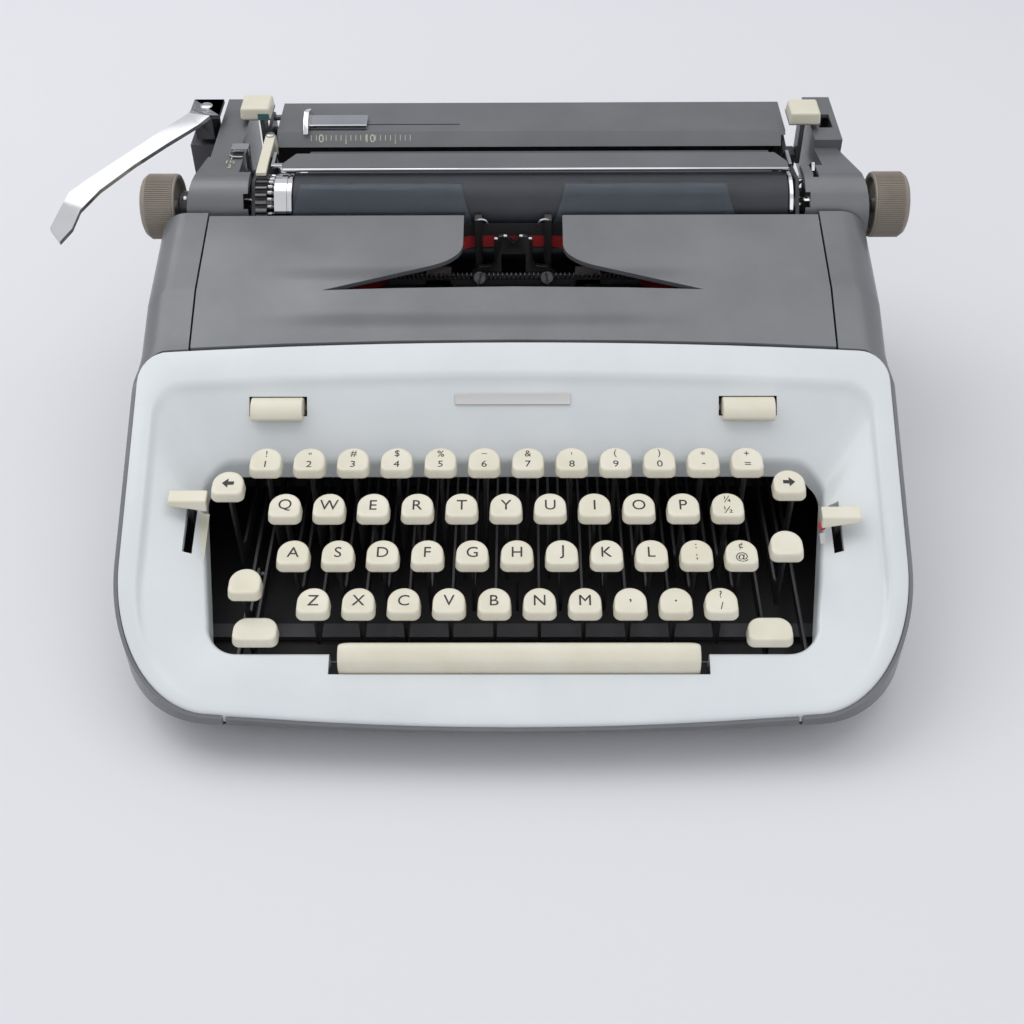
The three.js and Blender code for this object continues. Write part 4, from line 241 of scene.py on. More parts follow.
def eased(mesh, radius, segments=2, crease=28):
    """Rounds the sharp edges of a mesh, given in millimetres, and shades it smooth between them."""
    steps = [("BEVEL", {"width": radius * millimetre, "segments": segments, "limit_method": "ANGLE",
                        "angle_limit": math.radians(crease), "use_clamp_overlap": True})] if radius else []
    rounded = with_modifiers(mesh, *steps)
    rounded.shade_smooth()
    rounded.set_sharp_from_angle(angle=math.radians(crease + 12))
    return with_modifiers(rounded, ("WEIGHTED_NORMAL", {"keep_sharp": True, "weight": 80}))


def solid_copy(node):
    def build(shape):
        shape.from_mesh(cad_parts[node].data)
        bmesh.ops.remove_doubles(shape, verts=shape.verts, dist=1e-6)
        bmesh.ops.dissolve_limit(shape, angle_limit=math.radians(0.6), verts=shape.verts, edges=shape.edges)
    return shape_of(node, build)


def add_piece(name, mesh, body, material, replaces=()):
    mesh.materials.clear()
    mesh.materials.append(material)
    piece = placed_object(name, mesh)
    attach(piece, body)
    if replaces:
        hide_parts(*replaces)
    return piece


def dress(node, body, material, radius=0.3, segments=2, crease=28):
    return add_piece(node + "_dressed", eased(solid_copy(node), radius, segments, crease), body,
                     material, [node])


grey_light, grey_dark = (0.16, 0.165, 0.172), (0.132, 0.137, 0.144)
casing_paint = surface("stoved_grey_enamel", grey_light, grey_dark, 34, (0.34, 0.46), 0.05, metallic=0.25,
                       coat=0.25)
pan_paint = surface("pan_enamel", grey_light, grey_dark, 40, (0.4, 0.55), 0.06, metallic=0.2)
pan_inside, pan_front_y, pan_inside_y = (0.012, 0.012, 0.014, 1), -88, -86
pan_tree = pan_paint.node_tree
pan_place = added(pan_tree, "ShaderNodeTexCoord")
pan_split = added(pan_tree, "ShaderNodeSeparateXYZ")
pan_outer = added(pan_tree, "ShaderNodeMapRange", {"From Min": place(0, pan_inside_y, 0).y,
                                                   "From Max": place(0, pan_front_y, 0).y})
pan_mix = added(pan_tree, "ShaderNodeMix", data_type="RGBA")
pan_mix.inputs["A"].default_value = pan_inside
linked(pan_tree, (pan_place, "Object", pan_split, "Vector"), (pan_split, "Y", pan_outer, "Value"),
       (pan_outer, "Result", pan_mix, "Factor"), (pan_tree.nodes["tint"], "Color", pan_mix, "B"),
       (pan_mix, "Result", pan_tree.nodes["Principled BSDF"], "Base Color"))
dress("base_pan", "base", pan_paint, 0.4)

# Feet: four moulded black rubber buffers, each with a rounded foot edge and a washer recess underneath,
# held up into the base pan by a screw.
rubber = surface("moulded_black_rubber", (0.028, 0.028, 0.03), (0.014, 0.014, 0.015), 90, (0.7, 0.9), 0.12)


def skinned(shape, rows):
    """Closes rows of vertices into a solid, with a face over the first row and the last."""
    count = len(rows[0])
    for low, high in zip(rows, rows[1:]):
        for i in range(count):
            shape.faces.new((low[i], low[(i + 1) % count], high[(i + 1) % count], high[i]))
    shape.faces.new(rows[0][::-1])
    shape.faces.new(rows[-1])
    bmesh.ops.recalc_face_normals(shape, faces=shape.faces)


def lathe(shape, profile, sides):
    """Turns a profile of radius and height about the Z axis, closed at both ends."""
    around = [2 * math.pi * i / sides for i in range(sides)]
    skinned(shape, [[shape.verts.new((radius * math.cos(turn), radius * math.sin(turn), height))
                     for turn in around] for radius, height in profile])


def turned(name, profile, axis, x, y, z, sides=64):
    """A lathe piece in millimetres, its profile's heights being measured along the axis from x, y, z."""
    def build(shape):
        lathe(shape, [(r * millimetre, h * millimetre) for r, h in profile], sides)
        if axis == "X":
            bmesh.ops.rotate(shape, verts=shape.verts, matrix=Matrix.Rotation(math.pi / 2, 3, "Y"))
        bmesh.ops.translate(shape, verts=shape.verts, vec=place(x, y, z))
    mesh = shape_of(name, build)
    mesh.shade_smooth()
    mesh.set_sharp_from_angle(angle=math.radians(40))
    return mesh


foot_radius, foot_height, foot_recess = 9, 7.7, 3.2
for foot_name, foot_x, foot_y in (("foot_front_left", -138, -57.8), ("foot_front_right", 138, -57.8),
                                  ("foot_rear_left", -138, 167.4), ("foot_rear_right", 138, 167.4)):
    foot_profile = [(foot_recess, 1.2), (foot_recess, 0.1), (foot_radius - 1.6, 0),
                    (foot_radius - 0.5, 0.5), (foot_radius, 1.6), (foot_radius - 0.4, foot_height - 1),
                    (foot_radius - 1, foot_height)]
    foot = turned(foot_name, foot_profile, "Z", foot_x, foot_y, 0, 48)
    add_piece(foot_name + "_rubber", foot, "base", rubber, [foot_name])

# Casing: one deep-drawn steel shell. Its sides tuck in below the keyboard's ledge and swell into rounded
# shoulders beside the ribbon cover. It is stoved in satin grey enamel and screwed down to the main frame.
body_half, body_front, body_rear, body_bottom = 171, -102.4, shell_rear_y, 8
bezel_half, plan_bow = 169, 4.8
rim_front, rim_rear = (-100.8, 25.4), (55, 104.1)
crease, roof_rear = (80, 114.8), (128, 125)
shell_wall, seam_gap = 2.2, 0.3
crown_start, crown_run = 34, 24


def slope(p, q, y):
    return p[1] + (y - p[0]) * (q[1] - p[1]) / (q[0] - p[0])


def rim_height(y):
    return slope(rim_front, rim_rear, y)


def roof_height(y):
    return slope(rim_rear, crease, y) if y < crease[0] else slope(crease, roof_rear, y)


def crown(y):
    """How far the casing has swelled to its full shoulders, from 0 to 1."""
    t = min(max((y - crown_start) / crown_run, 0), 1)
    return t * t * (3 - 2 * t)


def even_stations(low, high, steps=16):
    return [low + (high - low) * (i + 1) / steps for i in range(steps - 1)]


def casing_stations(low, high):
    """The casing's stations, the same between any limits and close together where its shoulders swell."""
    swell = [crown_start + crown_run * i / 12 for i in range(13)]
    return sorted(swell + [10, 66, 73, 78, 80, 82, 95, 110, 126, 128, 150, 175])


def plan_loop(half, front, rear, corner_x, corner_y, rear_radius, front_bow, rear_bow, stations, taper=0,
              front_steps=10, corner_steps=22, rear_steps=8):
    """A plan outline with rounded corners and bowed ends, from the middle of the front to the right."""
    front_start, rear_start = half - taper - corner_x, half - rear_radius
    side_front, side_rear = front + front_bow + corner_y, rear - rear_bow - rear_radius
    side = [(front_start * i / front_steps, front + front_bow * (i / front_steps) ** 2)
            for i in range(front_steps)]
    for i in range(corner_steps + 1):
        turn = math.pi / 2 * i / corner_steps
        side.append((front_start + corner_x * math.sin(turn), side_front - corner_y * math.cos(turn)))
    side += [(half - taper * (side_rear - y) / (side_rear - side_front), y)
             for y in stations(side_front, side_rear)]
    for i in range(rear_steps + 1):
        turn = math.pi / 2 * i / rear_steps
        side.append((rear_start + rear_radius * math.cos(turn), side_rear + rear_radius * math.sin(turn)))
    for i in reversed(range(rear_steps)):
        side.append((rear_start * i / rear_steps, rear - rear_bow * (i / rear_steps) ** 2))
    return side + [(-x, y) for x, y in reversed(side[1:-1])]


def casing_loop(inset):
    return plan_loop(body_half - inset, body_front + inset, body_rear - inset, 46 - inset, 59.6 - inset,
                     16 * 16 / (16 + inset), plan_bow, 0, casing_stations)


def bezel_loop(inset, rear=rim_rear[0], front=rim_front[0]):
    return plan_loop(bezel_half - inset, front, rear, 44 - inset, 58 - inset, 13, plan_bow, 4,
                     even_stations)


def lofted(name, levels, ring=False):
    """A closed solid through rails of x, y, z points that share their stations."""
    def build(shape):
        rails = [[shape.verts.new(place(*p)) for p in rail] for rail in levels]
        count = len(rails[0])
        pairs = list(zip(rails, rails[1:])) + ([(rails[-1], rails[0])] if ring else [])
        for low, high in pairs:
            for i in range(count):
                shape.faces.new((low[i], low[(i + 1) % count], high[(i + 1) % count], high[i]))
        if not ring:
            half = count // 2
            for rail in (rails[0], rails[-1]):
                shape.faces.new((rail[0], rail[1], rail[-1]))
                shape.faces.new((rail[half - 1], rail[half], rail[half + 1]))
                for i in range(1, half - 1):
                    shape.faces.new((rail[i], rail[i + 1], rail[count - i - 1], rail[count - i]))
        bmesh.ops.recalc_face_normals(shape, faces=shape.faces)
    return shape_of(name, build)


def level(loop, height):
    return [(x, y, height(y)) for x, y in loop]


def block(x0, x1, y0, y1, z0, z1):
    def build(shape):
        low, high = place(x0, y0, z0), place(x1, y1, z1)
        bmesh.ops.create_cube(shape, size=1, matrix=Matrix.Translation((low + high) / 2)
                              @ Matrix.Diagonal((*(high - low), 1)))
    return shape_of("block", build)


def combined(mesh, others, operation):
    """The mesh joined with or cut by others."""
    work = [placed_object("tool", other) for other in others]
    result = with_modifiers(mesh, *[("BOOLEAN", {"operation": operation, "solver": "MANIFOLD",
                                                 "object": tool}) for tool in work])
    for tool in work:
        bpy.data.objects.remove(tool)
    return result


def casing_hull(inset):
    def top(y):
        return rim_height(y) - 1.5 + (roof_height(y) - rim_height(y) + 1.5) * crown(y) - inset
    arc_steps = 9
    foot = casing_loop(12.5 + inset)
    levels = [level(foot, lambda y: body_bottom - (5 if inset else 0))]
    if inset:
        levels.append(level(foot, lambda y: body_bottom))
    levels.append(level(casing_loop(inset), lambda y: 21.6 - inset))
    for k in range(arc_steps + 1):
        turn = math.pi / 2 * k / arc_steps
        drop = 14 * (1 - math.sin(turn))
        levels.append(level(casing_loop(inset + 14 * (1 - math.cos(turn))),
                            lambda y: top(y) - drop * crown(y)))
    hull = lofted("casing", levels)
    carriage_bay = block(-180, 180, 129.5 - inset, 400, 86 - inset, 160)
    return combined(hull, [carriage_bay], "DIFFERENCE")


def bezel_bay(grow):
    loop = bezel_loop(-grow, rim_rear[0] + grow, rim_front[0] - grow)
    return lofted("bay", [level(loop, lambda y: max(rim_height(y) - 7, 21.9) - grow),
                          level(loop, lambda y: 140)])


cover_side = 146.9
casing = combined(casing_hull(0), [casing_hull(shell_wall)], "DIFFERENCE")
cover_bay = block(-cover_side, cover_side, crown_start, 134.5, 85.7, 140)
carriage_well = block(-156, 156, 100, 204.8, 79.7, 86.3)
pan_bay = block(-120, 120, -200, -64.6, 0, 140)
casing = combined(casing, [bezel_bay(seam_gap), cover_bay, carriage_well, pan_bay], "DIFFERENCE")
add_piece("casing_shell", eased(casing, 0.5, 3, 34), "base", casing_paint, ["body_shell"])

# Keyboard bezel: one pressed frame round the keys, with a flat rim, a bowl that falls to the key well and a
# flange round it. It is stoved in blue-white enamel and drops into the casing's ledge.
white_light, white_dark = (0.745, 0.775, 0.785), (0.69, 0.725, 0.74)
bezel_paint = surface("stoved_white_enamel", white_light, white_dark, 30, (0.3, 0.4), 0.04, coat=0.4)
bezel_wall, well_half = 2.2, 138.5
well_front, well_side, well_rear = (-71.8, 37.1), (10, 63), (14.5, 68)


def well_height(y):
    return slope(well_front, well_side, y) if y < well_side[0] else slope(well_side, well_rear, y)


def well_loop(inset):
    return plan_loop(well_half - inset, well_front[0] + inset, well_rear[0] - inset, 13 - inset,
                     13 - inset, 13 - inset, 0, 0, even_stations, 9)


def chamfer_drop(y):
    return 3 * min(max((y - rim_front[0]) / 58, 0), 1)


def rounded_rails(rails, radii, steps=4):
    """The rails with each one but the first and last replaced by an arc across it."""
    result = [rails[0]]
    for i in range(1, len(rails) - 1):
        if not radii[i]:
            result.append(rails[i])
            continue
        arcs = [[] for _ in range(steps + 1)]
        for before, corner, after in zip(rails[i - 1], rails[i], rails[i + 1]):
            before, corner, after = Vector(before), Vector(corner), Vector(after)
            back, on = before - corner, after - corner
            a = corner + back * min(radii[i] / max(back.length, 1e-6), 0.45)
            b = corner + on * min(radii[i] / max(on.length, 1e-6), 0.45)
            for k in range(steps + 1):
                t = k / steps
                arcs[k].append(a * (1 - t) ** 2 + corner * 2 * t * (1 - t) + b * t ** 2)
        result += arcs
    return result + [rails[-1]]


def bezel_rails():
    rim = 8
    rear, front = rim_rear[0] - 14.3, rim_front[0] + 2.4
    bowl_rear, bowl_front, bowl_inset = rear - 2.3, front + 4, rim + 2.4

    def skirt(y):
        return max(rim_height(y) - 7, 21.9)

    inner_rear, inner_front = rim_rear[0] - bezel_wall, rim_front[0] + bezel_wall
    outside = [level(bezel_loop(0), skirt), level(bezel_loop(0), rim_height),
               level(bezel_loop(rim, rear, front), rim_height),
               level(bezel_loop(bowl_inset, bowl_rear, bowl_front),
                     lambda y: rim_height(y) - chamfer_drop(y)),
               level(well_loop(0), well_height),
               level(well_loop(1), lambda y: well_height(y) - 8)]
    inside = [level(well_loop(1 - bezel_wall), lambda y: well_height(y) - 8),
              level(well_loop(-bezel_wall), lambda y: well_height(y) - bezel_wall),
              level(bezel_loop(bowl_inset, bowl_rear, bowl_front),
                    lambda y: rim_height(y) - chamfer_drop(y) - bezel_wall),
              level(bezel_loop(rim, rear, front), lambda y: rim_height(y) - bezel_wall),
              level(bezel_loop(bezel_wall, inner_rear, inner_front), lambda y: rim_height(y) - bezel_wall),
              level(bezel_loop(bezel_wall, inner_rear, inner_front), skirt)]
    return rounded_rails(outside, [0, 1.3, 2.2, 2.2, 2.4, 0]) + inside


panel_low, panel_high = (10, 63), (38.4, rim_height(38.4) - 3)
panel_along = Vector((0, panel_high[0] - panel_low[0], panel_high[1] - panel_low[1])).normalized()
panel_off = Vector((0, -panel_along.z, panel_along.y))
rocker_middle = Vector((0, 31.5, slope(panel_low, panel_high, 31.5)))


def between(shape, ends):
    """Closes two like outlines into a solid, with their own faces first and then those round the sides."""
    near, far = ends
    count = len(near)
    shape.faces.new(near)
    shape.faces.new(far[::-1])
    for i in range(count):
        shape.faces.new((near[i], near[(i + 1) % count], far[(i + 1) % count], far[i]))
    bmesh.ops.recalc_face_normals(shape, faces=shape.faces)


def prism_x(x0, x1, outline):
    """A solid between two planes across the machine, from an outline of y and z."""
    def build(shape):
        between(shape, [[shape.verts.new(place(x, y, z)) for y, z in outline] for x in (x0, x1)])
    return shape_of("prism", build)


def panel_outline(points):
    turned_points = [rocker_middle + panel_along * a + panel_off * b for a, b in points]
    return [(p.y, p.z) for p in turned_points]


slot_outline = panel_outline([(-4.4, -6), (4.4, -6), (4.4, 6), (-4.4, 6)])
rocker_x, side_slot_x, bar_notch = 105.5, 141.6, (-77.0, 82.8, -80.9, -70.9)
bezel_cuts = [prism_x(x - 13, x + 13, slot_outline) for x in (-rocker_x, rocker_x)]
bezel_cuts += [block(x - 2, x + 2, -29.5, -6.5, 37.1, 104) for x in (-side_slot_x, side_slot_x)]
bezel_cuts.append(block(*bar_notch, 0, 104))
bezel = combined(lofted("bezel", bezel_rails(), ring=True), bezel_cuts, "DIFFERENCE")
bezel.shade_smooth()
bezel.set_sharp_from_angle(angle=math.radians(38))
add_piece("keyboard_bezel_pressing", bezel, "base", bezel_paint, ["keyboard_bezel"])

# Main frame: two steel side plates tied by straps, the bridge that carries the type guide, the spool tables
# and the rear plate. All are stamped, spot-welded and dipped in black enamel.
# The edge colour here is a painted highlight along the enamel's sharp edges.
black_paint = surface("black_dipped_enamel", (0.028, 0.028, 0.03), (0.016, 0.016, 0.018), 60, (0.32, 0.5),
                      0.05, metallic=0.4, edge=(0.09, 0.09, 0.095))
dress("main_frame", "base", black_paint, 0.25, 1)

# Carriage rail and fulcrum rod: the rail is drawn steel, ground on its running faces. The rod is ground
# steel too, pressed into the side plates, and all the key levers turn on it.
ground_steel = surface("ground_steel", (0.46, 0.465, 0.475), (0.36, 0.365, 0.375), 60, (0.24, 0.4), 0.015,
                       metallic=1.0, stretch=(0.05, 1, 1))
dress("carriage_rail", "base", ground_steel, 0.5, 2)
fulcrum_y, fulcrum_z = 135, 30
fulcrum_rod = turned("fulcrum_rod", [(1.7, 0), (2.5, 0.8), (2.5, 304.2), (1.7, 305)], "X", -152.5,
                     fulcrum_y, fulcrum_z, 24)
add_piece("fulcrum_rod_ground", fulcrum_rod, "base", ground_steel, ["fulcrum_rod"])

# Type segment: the slotted arch, with the comb in front of it, in which the typebars lie. Each bar is a
# stamped strip with its hardened, bright type head soldered on at its free end.
def group_tree(name, inputs):
    """An empty node tree with a geometry input and output and named inputs for its sizes."""
    tree = bpy.data.node_groups.new(name, "GeometryNodeTree")
    tree.interface.new_socket("Geometry", in_out="INPUT", socket_type="NodeSocketGeometry")
    for label, kind in inputs:
        tree.interface.new_socket(label, in_out="INPUT", socket_type="NodeSocket" + kind)
    tree.interface.new_socket("Geometry", in_out="OUTPUT", socket_type="NodeSocketGeometry")
    start, end = tree.nodes.new("NodeGroupInput"), tree.nodes.new("NodeGroupOutput")
    return tree, start, end


def grown(mesh, tree, values):
    """The mesh that a node tree makes from this one, its inputs being given by name."""
    work = placed_object("work", mesh)
    modifier = work.modifiers.new("grow", "NODES")
    modifier.node_group = tree
    for item in tree.interface.items_tree:
        if item.in_out == "INPUT" and item.name in values:
            modifier[item.identifier] = values[item.name]
    return finished_mesh(work)


# A node tree sets a copy of a unit piece on each point of a carrier mesh, turned by the point's own angles.
copies_tree, copies_in, copies_out = group_tree("copies_on_points",
                                                [("Unit", "Object"), ("Finish", "Material")])
copies_unit = added(copies_tree, "GeometryNodeObjectInfo")
copies_turn = added(copies_tree, "GeometryNodeInputNamedAttribute", data_type="FLOAT_VECTOR")
copies_turn.inputs["Name"].default_value = "turn"
copies_set = added(copies_tree, "GeometryNodeInstanceOnPoints")
copies_real = added(copies_tree, "GeometryNodeRealizeInstances")
copies_finish = added(copies_tree, "GeometryNodeSetMaterial")
linked(copies_tree, (copies_in, "Geometry", copies_set, "Points"),
       (copies_in, "Unit", copies_unit, "Object"), (copies_unit, "Geometry", copies_set, "Instance"),
       (copies_turn, "Attribute", copies_set, "Rotation"),
       (copies_set, "Instances", copies_real, "Geometry"),
       (copies_real, "Geometry", copies_finish, "Geometry"),
       (copies_in, "Finish", copies_finish, "Material"),
       (copies_finish, "Geometry", copies_out, "Geometry"))


def copied(name, unit, spots, finish):
    """One mesh with the unit mesh on every spot, each spot being x, y, z and its turns about the axes."""
    carrier = bpy.data.meshes.new(name)
    carrier.from_pydata([place(*spot[:3]) for spot in spots], [], [])
    turns = carrier.attributes.new("turn", "FLOAT_VECTOR", "POINT")
    for i, spot in enumerate(spots):
        turns.data[i].vector = spot[3] if len(spot) > 3 else (0, 0, 0)
    unit_object = placed_object("unit", unit)
    mesh = grown(carrier, copies_tree, {"Unit": unit_object, "Finish": finish})
    bpy.data.objects.remove(unit_object)
    mesh.name = name
    return mesh


def prism(axis, low, high, outline):
    """A solid at the origin in metres from an outline in millimetres, drawn out along an axis."""
    def corner(a, b, c):
        return Vector({"X": (c, a, b), "Y": (a, c, b), "Z": (a, b, c)}[axis]) * millimetre

    def build(shape):
        between(shape, [[shape.verts.new(corner(a, b, c)) for a, b in outline] for c in (low, high)])
    return shape_of("prism", build)


def joined(name, meshes):
    def build(shape):
        for mesh in meshes:
            shape.from_mesh(mesh)
    return shape_of(name, build)


# The edge colour here is a painted highlight along the steel's sharp edges.
segment_steel = surface("oiled_black_steel", (0.045, 0.045, 0.048), (0.02, 0.02, 0.022), 70, (0.25, 0.45),
                        0.03, metallic=0.8, edge=(0.16, 0.16, 0.165))
bar_steel = surface("blued_bar_steel", (0.10, 0.10, 0.11), (0.05, 0.05, 0.055), 120, (0.25, 0.4), 0.02,
                    metallic=0.9)
head_metal = surface("hardened_type_metal", (0.42, 0.40, 0.35), (0.26, 0.25, 0.22), 160, (0.3, 0.45), 0.03,
                     metallic=0.85)
bar_count, bar_fan, bar_axis_z, bar_axis_y = 44, 78, 103, 110
bar_head_radius, bar_head_y, bar_root_radius = 57, 90, 36
bar_angles = [math.radians(-bar_fan + 2 * bar_fan * i / (bar_count - 1)) for i in range(bar_count)]
bar_outline = [(bar_head_y - bar_axis_y - 1.2, -bar_head_radius - 0.6),
               (bar_head_y - bar_axis_y - 1.2, -bar_head_radius + 2.4), (0.3, -bar_root_radius + 1.2),
               (0.3, -bar_root_radius - 1.2), (bar_head_y - bar_axis_y + 1.7, -bar_head_radius - 1.2)]
bar_unit = eased(prism("X", -0.5, 0.5, bar_outline), 0.15, 1)
bar_spots = [(0, bar_axis_y, bar_axis_z, (0, -angle, 0)) for angle in bar_angles]
add_piece("typebars", copied("typebars", bar_unit, bar_spots, bar_steel), "type_segment_body",
          bar_steel, ["type_segment"])
head_unit = eased(prism("Y", bar_head_y - bar_axis_y - 1.7, bar_head_y - bar_axis_y + 0.5,
                        [(-0.9, -bar_head_radius - 1.7), (0.9, -bar_head_radius - 1.7),
                         (0.9, -bar_head_radius + 3.2), (-0.9, -bar_head_radius + 3.2)]), 0.3, 2)
add_piece("type_heads", copied("type_heads", head_unit, bar_spots, head_metal), "type_segment_body",
          head_metal)

arch_steps, arch_outer, arch_inner, arch_rear_y = 64, 42, 30, 116


def segment_arch(shape):
    turns = [math.pi + math.pi * i / arch_steps for i in range(arch_steps + 1)]
    outer = [(arch_outer * math.cos(turn), arch_outer * math.sin(turn)) for turn in turns]
    inner = [(x * arch_inner / arch_outer, z * arch_inner / arch_outer) for x, z in outer]
    rails = [[shape.verts.new(place(x, y, bar_axis_z + z)) for x, z in side]
             for side, y in ((outer, bar_axis_y), (outer, arch_rear_y), (inner, arch_rear_y),
                             (inner, bar_axis_y))]
    for low, high in zip(rails, rails[1:] + rails[:1]):
        for i in range(arch_steps):
            shape.faces.new((low[i], low[i + 1], high[i + 1], high[i]))
    for end in (0, -1):
        shape.faces.new([rail[end] for rail in rails])
    bmesh.ops.recalc_face_normals(shape, faces=shape.faces)


slot_unit = prism("Y", -0.6, 3.2, [(-0.42, -41.4), (0.42, -41.4), (0.42, -30.6), (-0.42, -30.6)])
slots = copied("slots", slot_unit, bar_spots, segment_steel)
arch = combined(shape_of("arch", segment_arch), [slots], "DIFFERENCE")
add_piece("segment_arch", eased(arch, 0), "type_segment_body", segment_steel)
comb_count, comb_half, comb_front_y = 56, 60, 104.6
comb_low, comb_root, comb_tip = 100.7, 104.1, 105.5
comb_outline = [(-comb_half, comb_low), (comb_half, comb_low)]
for i in range(comb_count, 0, -1):
    x = -comb_half + 2 * comb_half * i / comb_count
    step = 2 * comb_half / comb_count
    comb_outline += [(x, comb_root), (x - step * 0.25, comb_tip), (x - step * 0.55, comb_tip),
                     (x - step * 0.8, comb_root)]
comb_outline.append((-comb_half, comb_root))
comb = prism("Y", 0, 3, comb_outline)
comb.transform(Matrix.Translation(place(0, comb_front_y, 0)))
brackets = [block(x0, x1, comb_front_y, arch_rear_y, comb_low, 103.3)
            for x0, x1 in ((-arch_outer, -arch_inner), (arch_inner, arch_outer))]
add_piece("segment_comb", eased(joined("comb", [comb] + brackets), 0.12, 1), "type_segment_body",
          segment_steel)

screw_head = turned("screw_head", [(0.1, 0.1), (2.4, 0), (3.2, 0.4), (3.2, 1.2), (2.8, 1.6), (0.1, 1.7)],
                    "Z", 0, 0, 0, 32)
screw_head = combined(screw_head, [block(-0.4, 0.4, -4, 4, 1.0, 3)], "DIFFERENCE")
screw_head.transform(Matrix.Translation(-machine_origin))
screw_lean = math.radians(48)
screw_spots = [(-16.3, 104.2, 104.4, (screw_lean, 0.4, 0)), (16.3, 104.2, 104.4, (screw_lean, -0.2, 0))]
segment_screws = copied("segment_screws", eased(screw_head, 0.1, 1), screw_spots, segment_steel)
add_piece("segment_screws", segment_screws, "type_segment_body", segment_steel)
bead_unit = turned("bead", [(0.05, -0.62), (0.4, -0.5), (0.6, -0.2), (0.62, 0.05), (0.5, 0.38),
                            (0.25, 0.58), (0.05, 0.62)], "Z", 0, 0, 0, 12)
bead_unit.transform(Matrix.Translation(-machine_origin))
bead_spots = [(-comb_half + 2 * comb_half * (i + 0.62) / comb_count, 105.0, 105.7)
              for i in range(comb_count)]
comb_beads = copied("comb_beads", bead_unit, bead_spots, bar_steel)
add_piece("comb_beads", comb_beads, "type_segment_body", bar_steel)

# Type guide and ribbon vibrator: the guide is a black stamped fork on the bridge, with a window and four
# bright rollers, that centres each type head. The vibrator lifts the ribbon with two arms and wire hooks.
guide_outline = [(-20.8, 86), (20.8, 86), (20.8, 95), (17, 98.5), (11, 99.5), (9.3, 102), (9.3, 112.6),
                 (8.6, 114.6), (6.8, 116), (4.2, 116.3), (2.6, 115.4), (0, 112.4), (-2.6, 115.4),
                 (-4.2, 116.3), (-6.8, 116), (-8.6, 114.6), (-9.3, 112.6), (-9.3, 102), (-11, 99.5),
                 (-17, 98.5), (-20.8, 95)]
guide_plate = prism("Y", 0, 2.4, guide_outline)
guide_plate.transform(Matrix.Translation(place(0, 122.4, 0)))
guide_window = block(-5.9, 5.9, 120, 130, 93.5, 106)
guide_plate = combined(guide_plate, [guide_window], "DIFFERENCE")
guide_feet = [block(x0, x1, 121.3, 125, 86, 93) for x0, x1 in ((-20.8, -17.2), (17.2, 20.8))]
guide_parts = [eased(guide_plate, 0.35, 2)] + [eased(foot, 0.3, 2) for foot in guide_feet]
add_piece("type_guide_fork", joined("type_guide", guide_parts), "base", segment_steel,
          ["type_guide"])
guide_rollers = [turned("roller", [(0.6, 0), (0.85, 0.3), (0.85, 1.5), (0.6, 1.8)], "X", x - 0.9, 122.3,
                        z, 20) for x, z in ((-8.3, 114.9), (-3.8, 116.4), (3.8, 116.4), (8.3, 114.9))]
add_piece("type_guide_rollers", joined("rollers", guide_rollers), "base", ground_steel)
dress("ribbon_vibrator", "ribbon_vibrator_body", segment_steel, 0.3)

# A node tree draws a round wire along a path of mesh edges.
wire_tree, wire_in, wire_out = group_tree("wire_along_path", [("Radius", "Float"), ("Finish", "Material")])
wire_path = added(wire_tree, "GeometryNodeMeshToCurve")
wire_round = added(wire_tree, "GeometryNodeCurvePrimitiveCircle", {"Resolution": 12})
wire_skin = added(wire_tree, "GeometryNodeCurveToMesh", {"Fill Caps": True})
wire_real = added(wire_tree, "GeometryNodeRealizeInstances")
wire_finish = added(wire_tree, "GeometryNodeSetMaterial")
linked(wire_tree, (wire_in, "Geometry", wire_path, "Mesh"), (wire_in, "Radius", wire_round, "Radius"),
       (wire_path, "Curve", wire_skin, "Curve"), (wire_round, "Curve", wire_skin, "Profile Curve"),
       (wire_skin, "Mesh", wire_real, "Geometry"), (wire_real, "Geometry", wire_finish, "Geometry"),
       (wire_in, "Finish", wire_finish, "Material"), (wire_finish, "Geometry", wire_out, "Geometry"))


def through(points, steps):
    """A smooth line through points, as points evenly many between each two."""
    line = []
    for i in range(len(points) - 1):
        p0, p1, p2, p3 = (Vector(points[min(max(i + k, 0), len(points) - 1)]) for k in (-1, 0, 1, 2))
        for k in range(steps):
            t = k / steps
            line.append(0.5 * (2 * p1 + (p2 - p0) * t + (2 * p0 - 5 * p1 + 4 * p2 - p3) * t ** 2
                               + (3 * p1 - p0 - 3 * p2 + p3) * t ** 3))
    return line + [Vector(points[-1])]


def wire(name, points, radius, finish):
    line = through(points, 6)
    path = bpy.data.meshes.new(name)
    path.from_pydata([place(*p) for p in line], [(i, i + 1) for i in range(len(line) - 1)], [])
    mesh = grown(path, wire_tree, {"Radius": radius * millimetre, "Finish": finish})
    mesh.shade_smooth()
    return mesh


hook_path = [(17.4, 127, 119.5), (17.2, 126.6, 122.2), (15.4, 126.2, 123.2), (13.2, 126.1, 122.6),
             (12.2, 126.2, 120.6)]
hooks = [wire("hook", [(x * side, y, z) for x, y, z in hook_path], 0.55, ground_steel) for side in (-1, 1)]
add_piece("ribbon_hooks", joined("ribbon_hooks", hooks), "ribbon_vibrator_body",
          ground_steel)

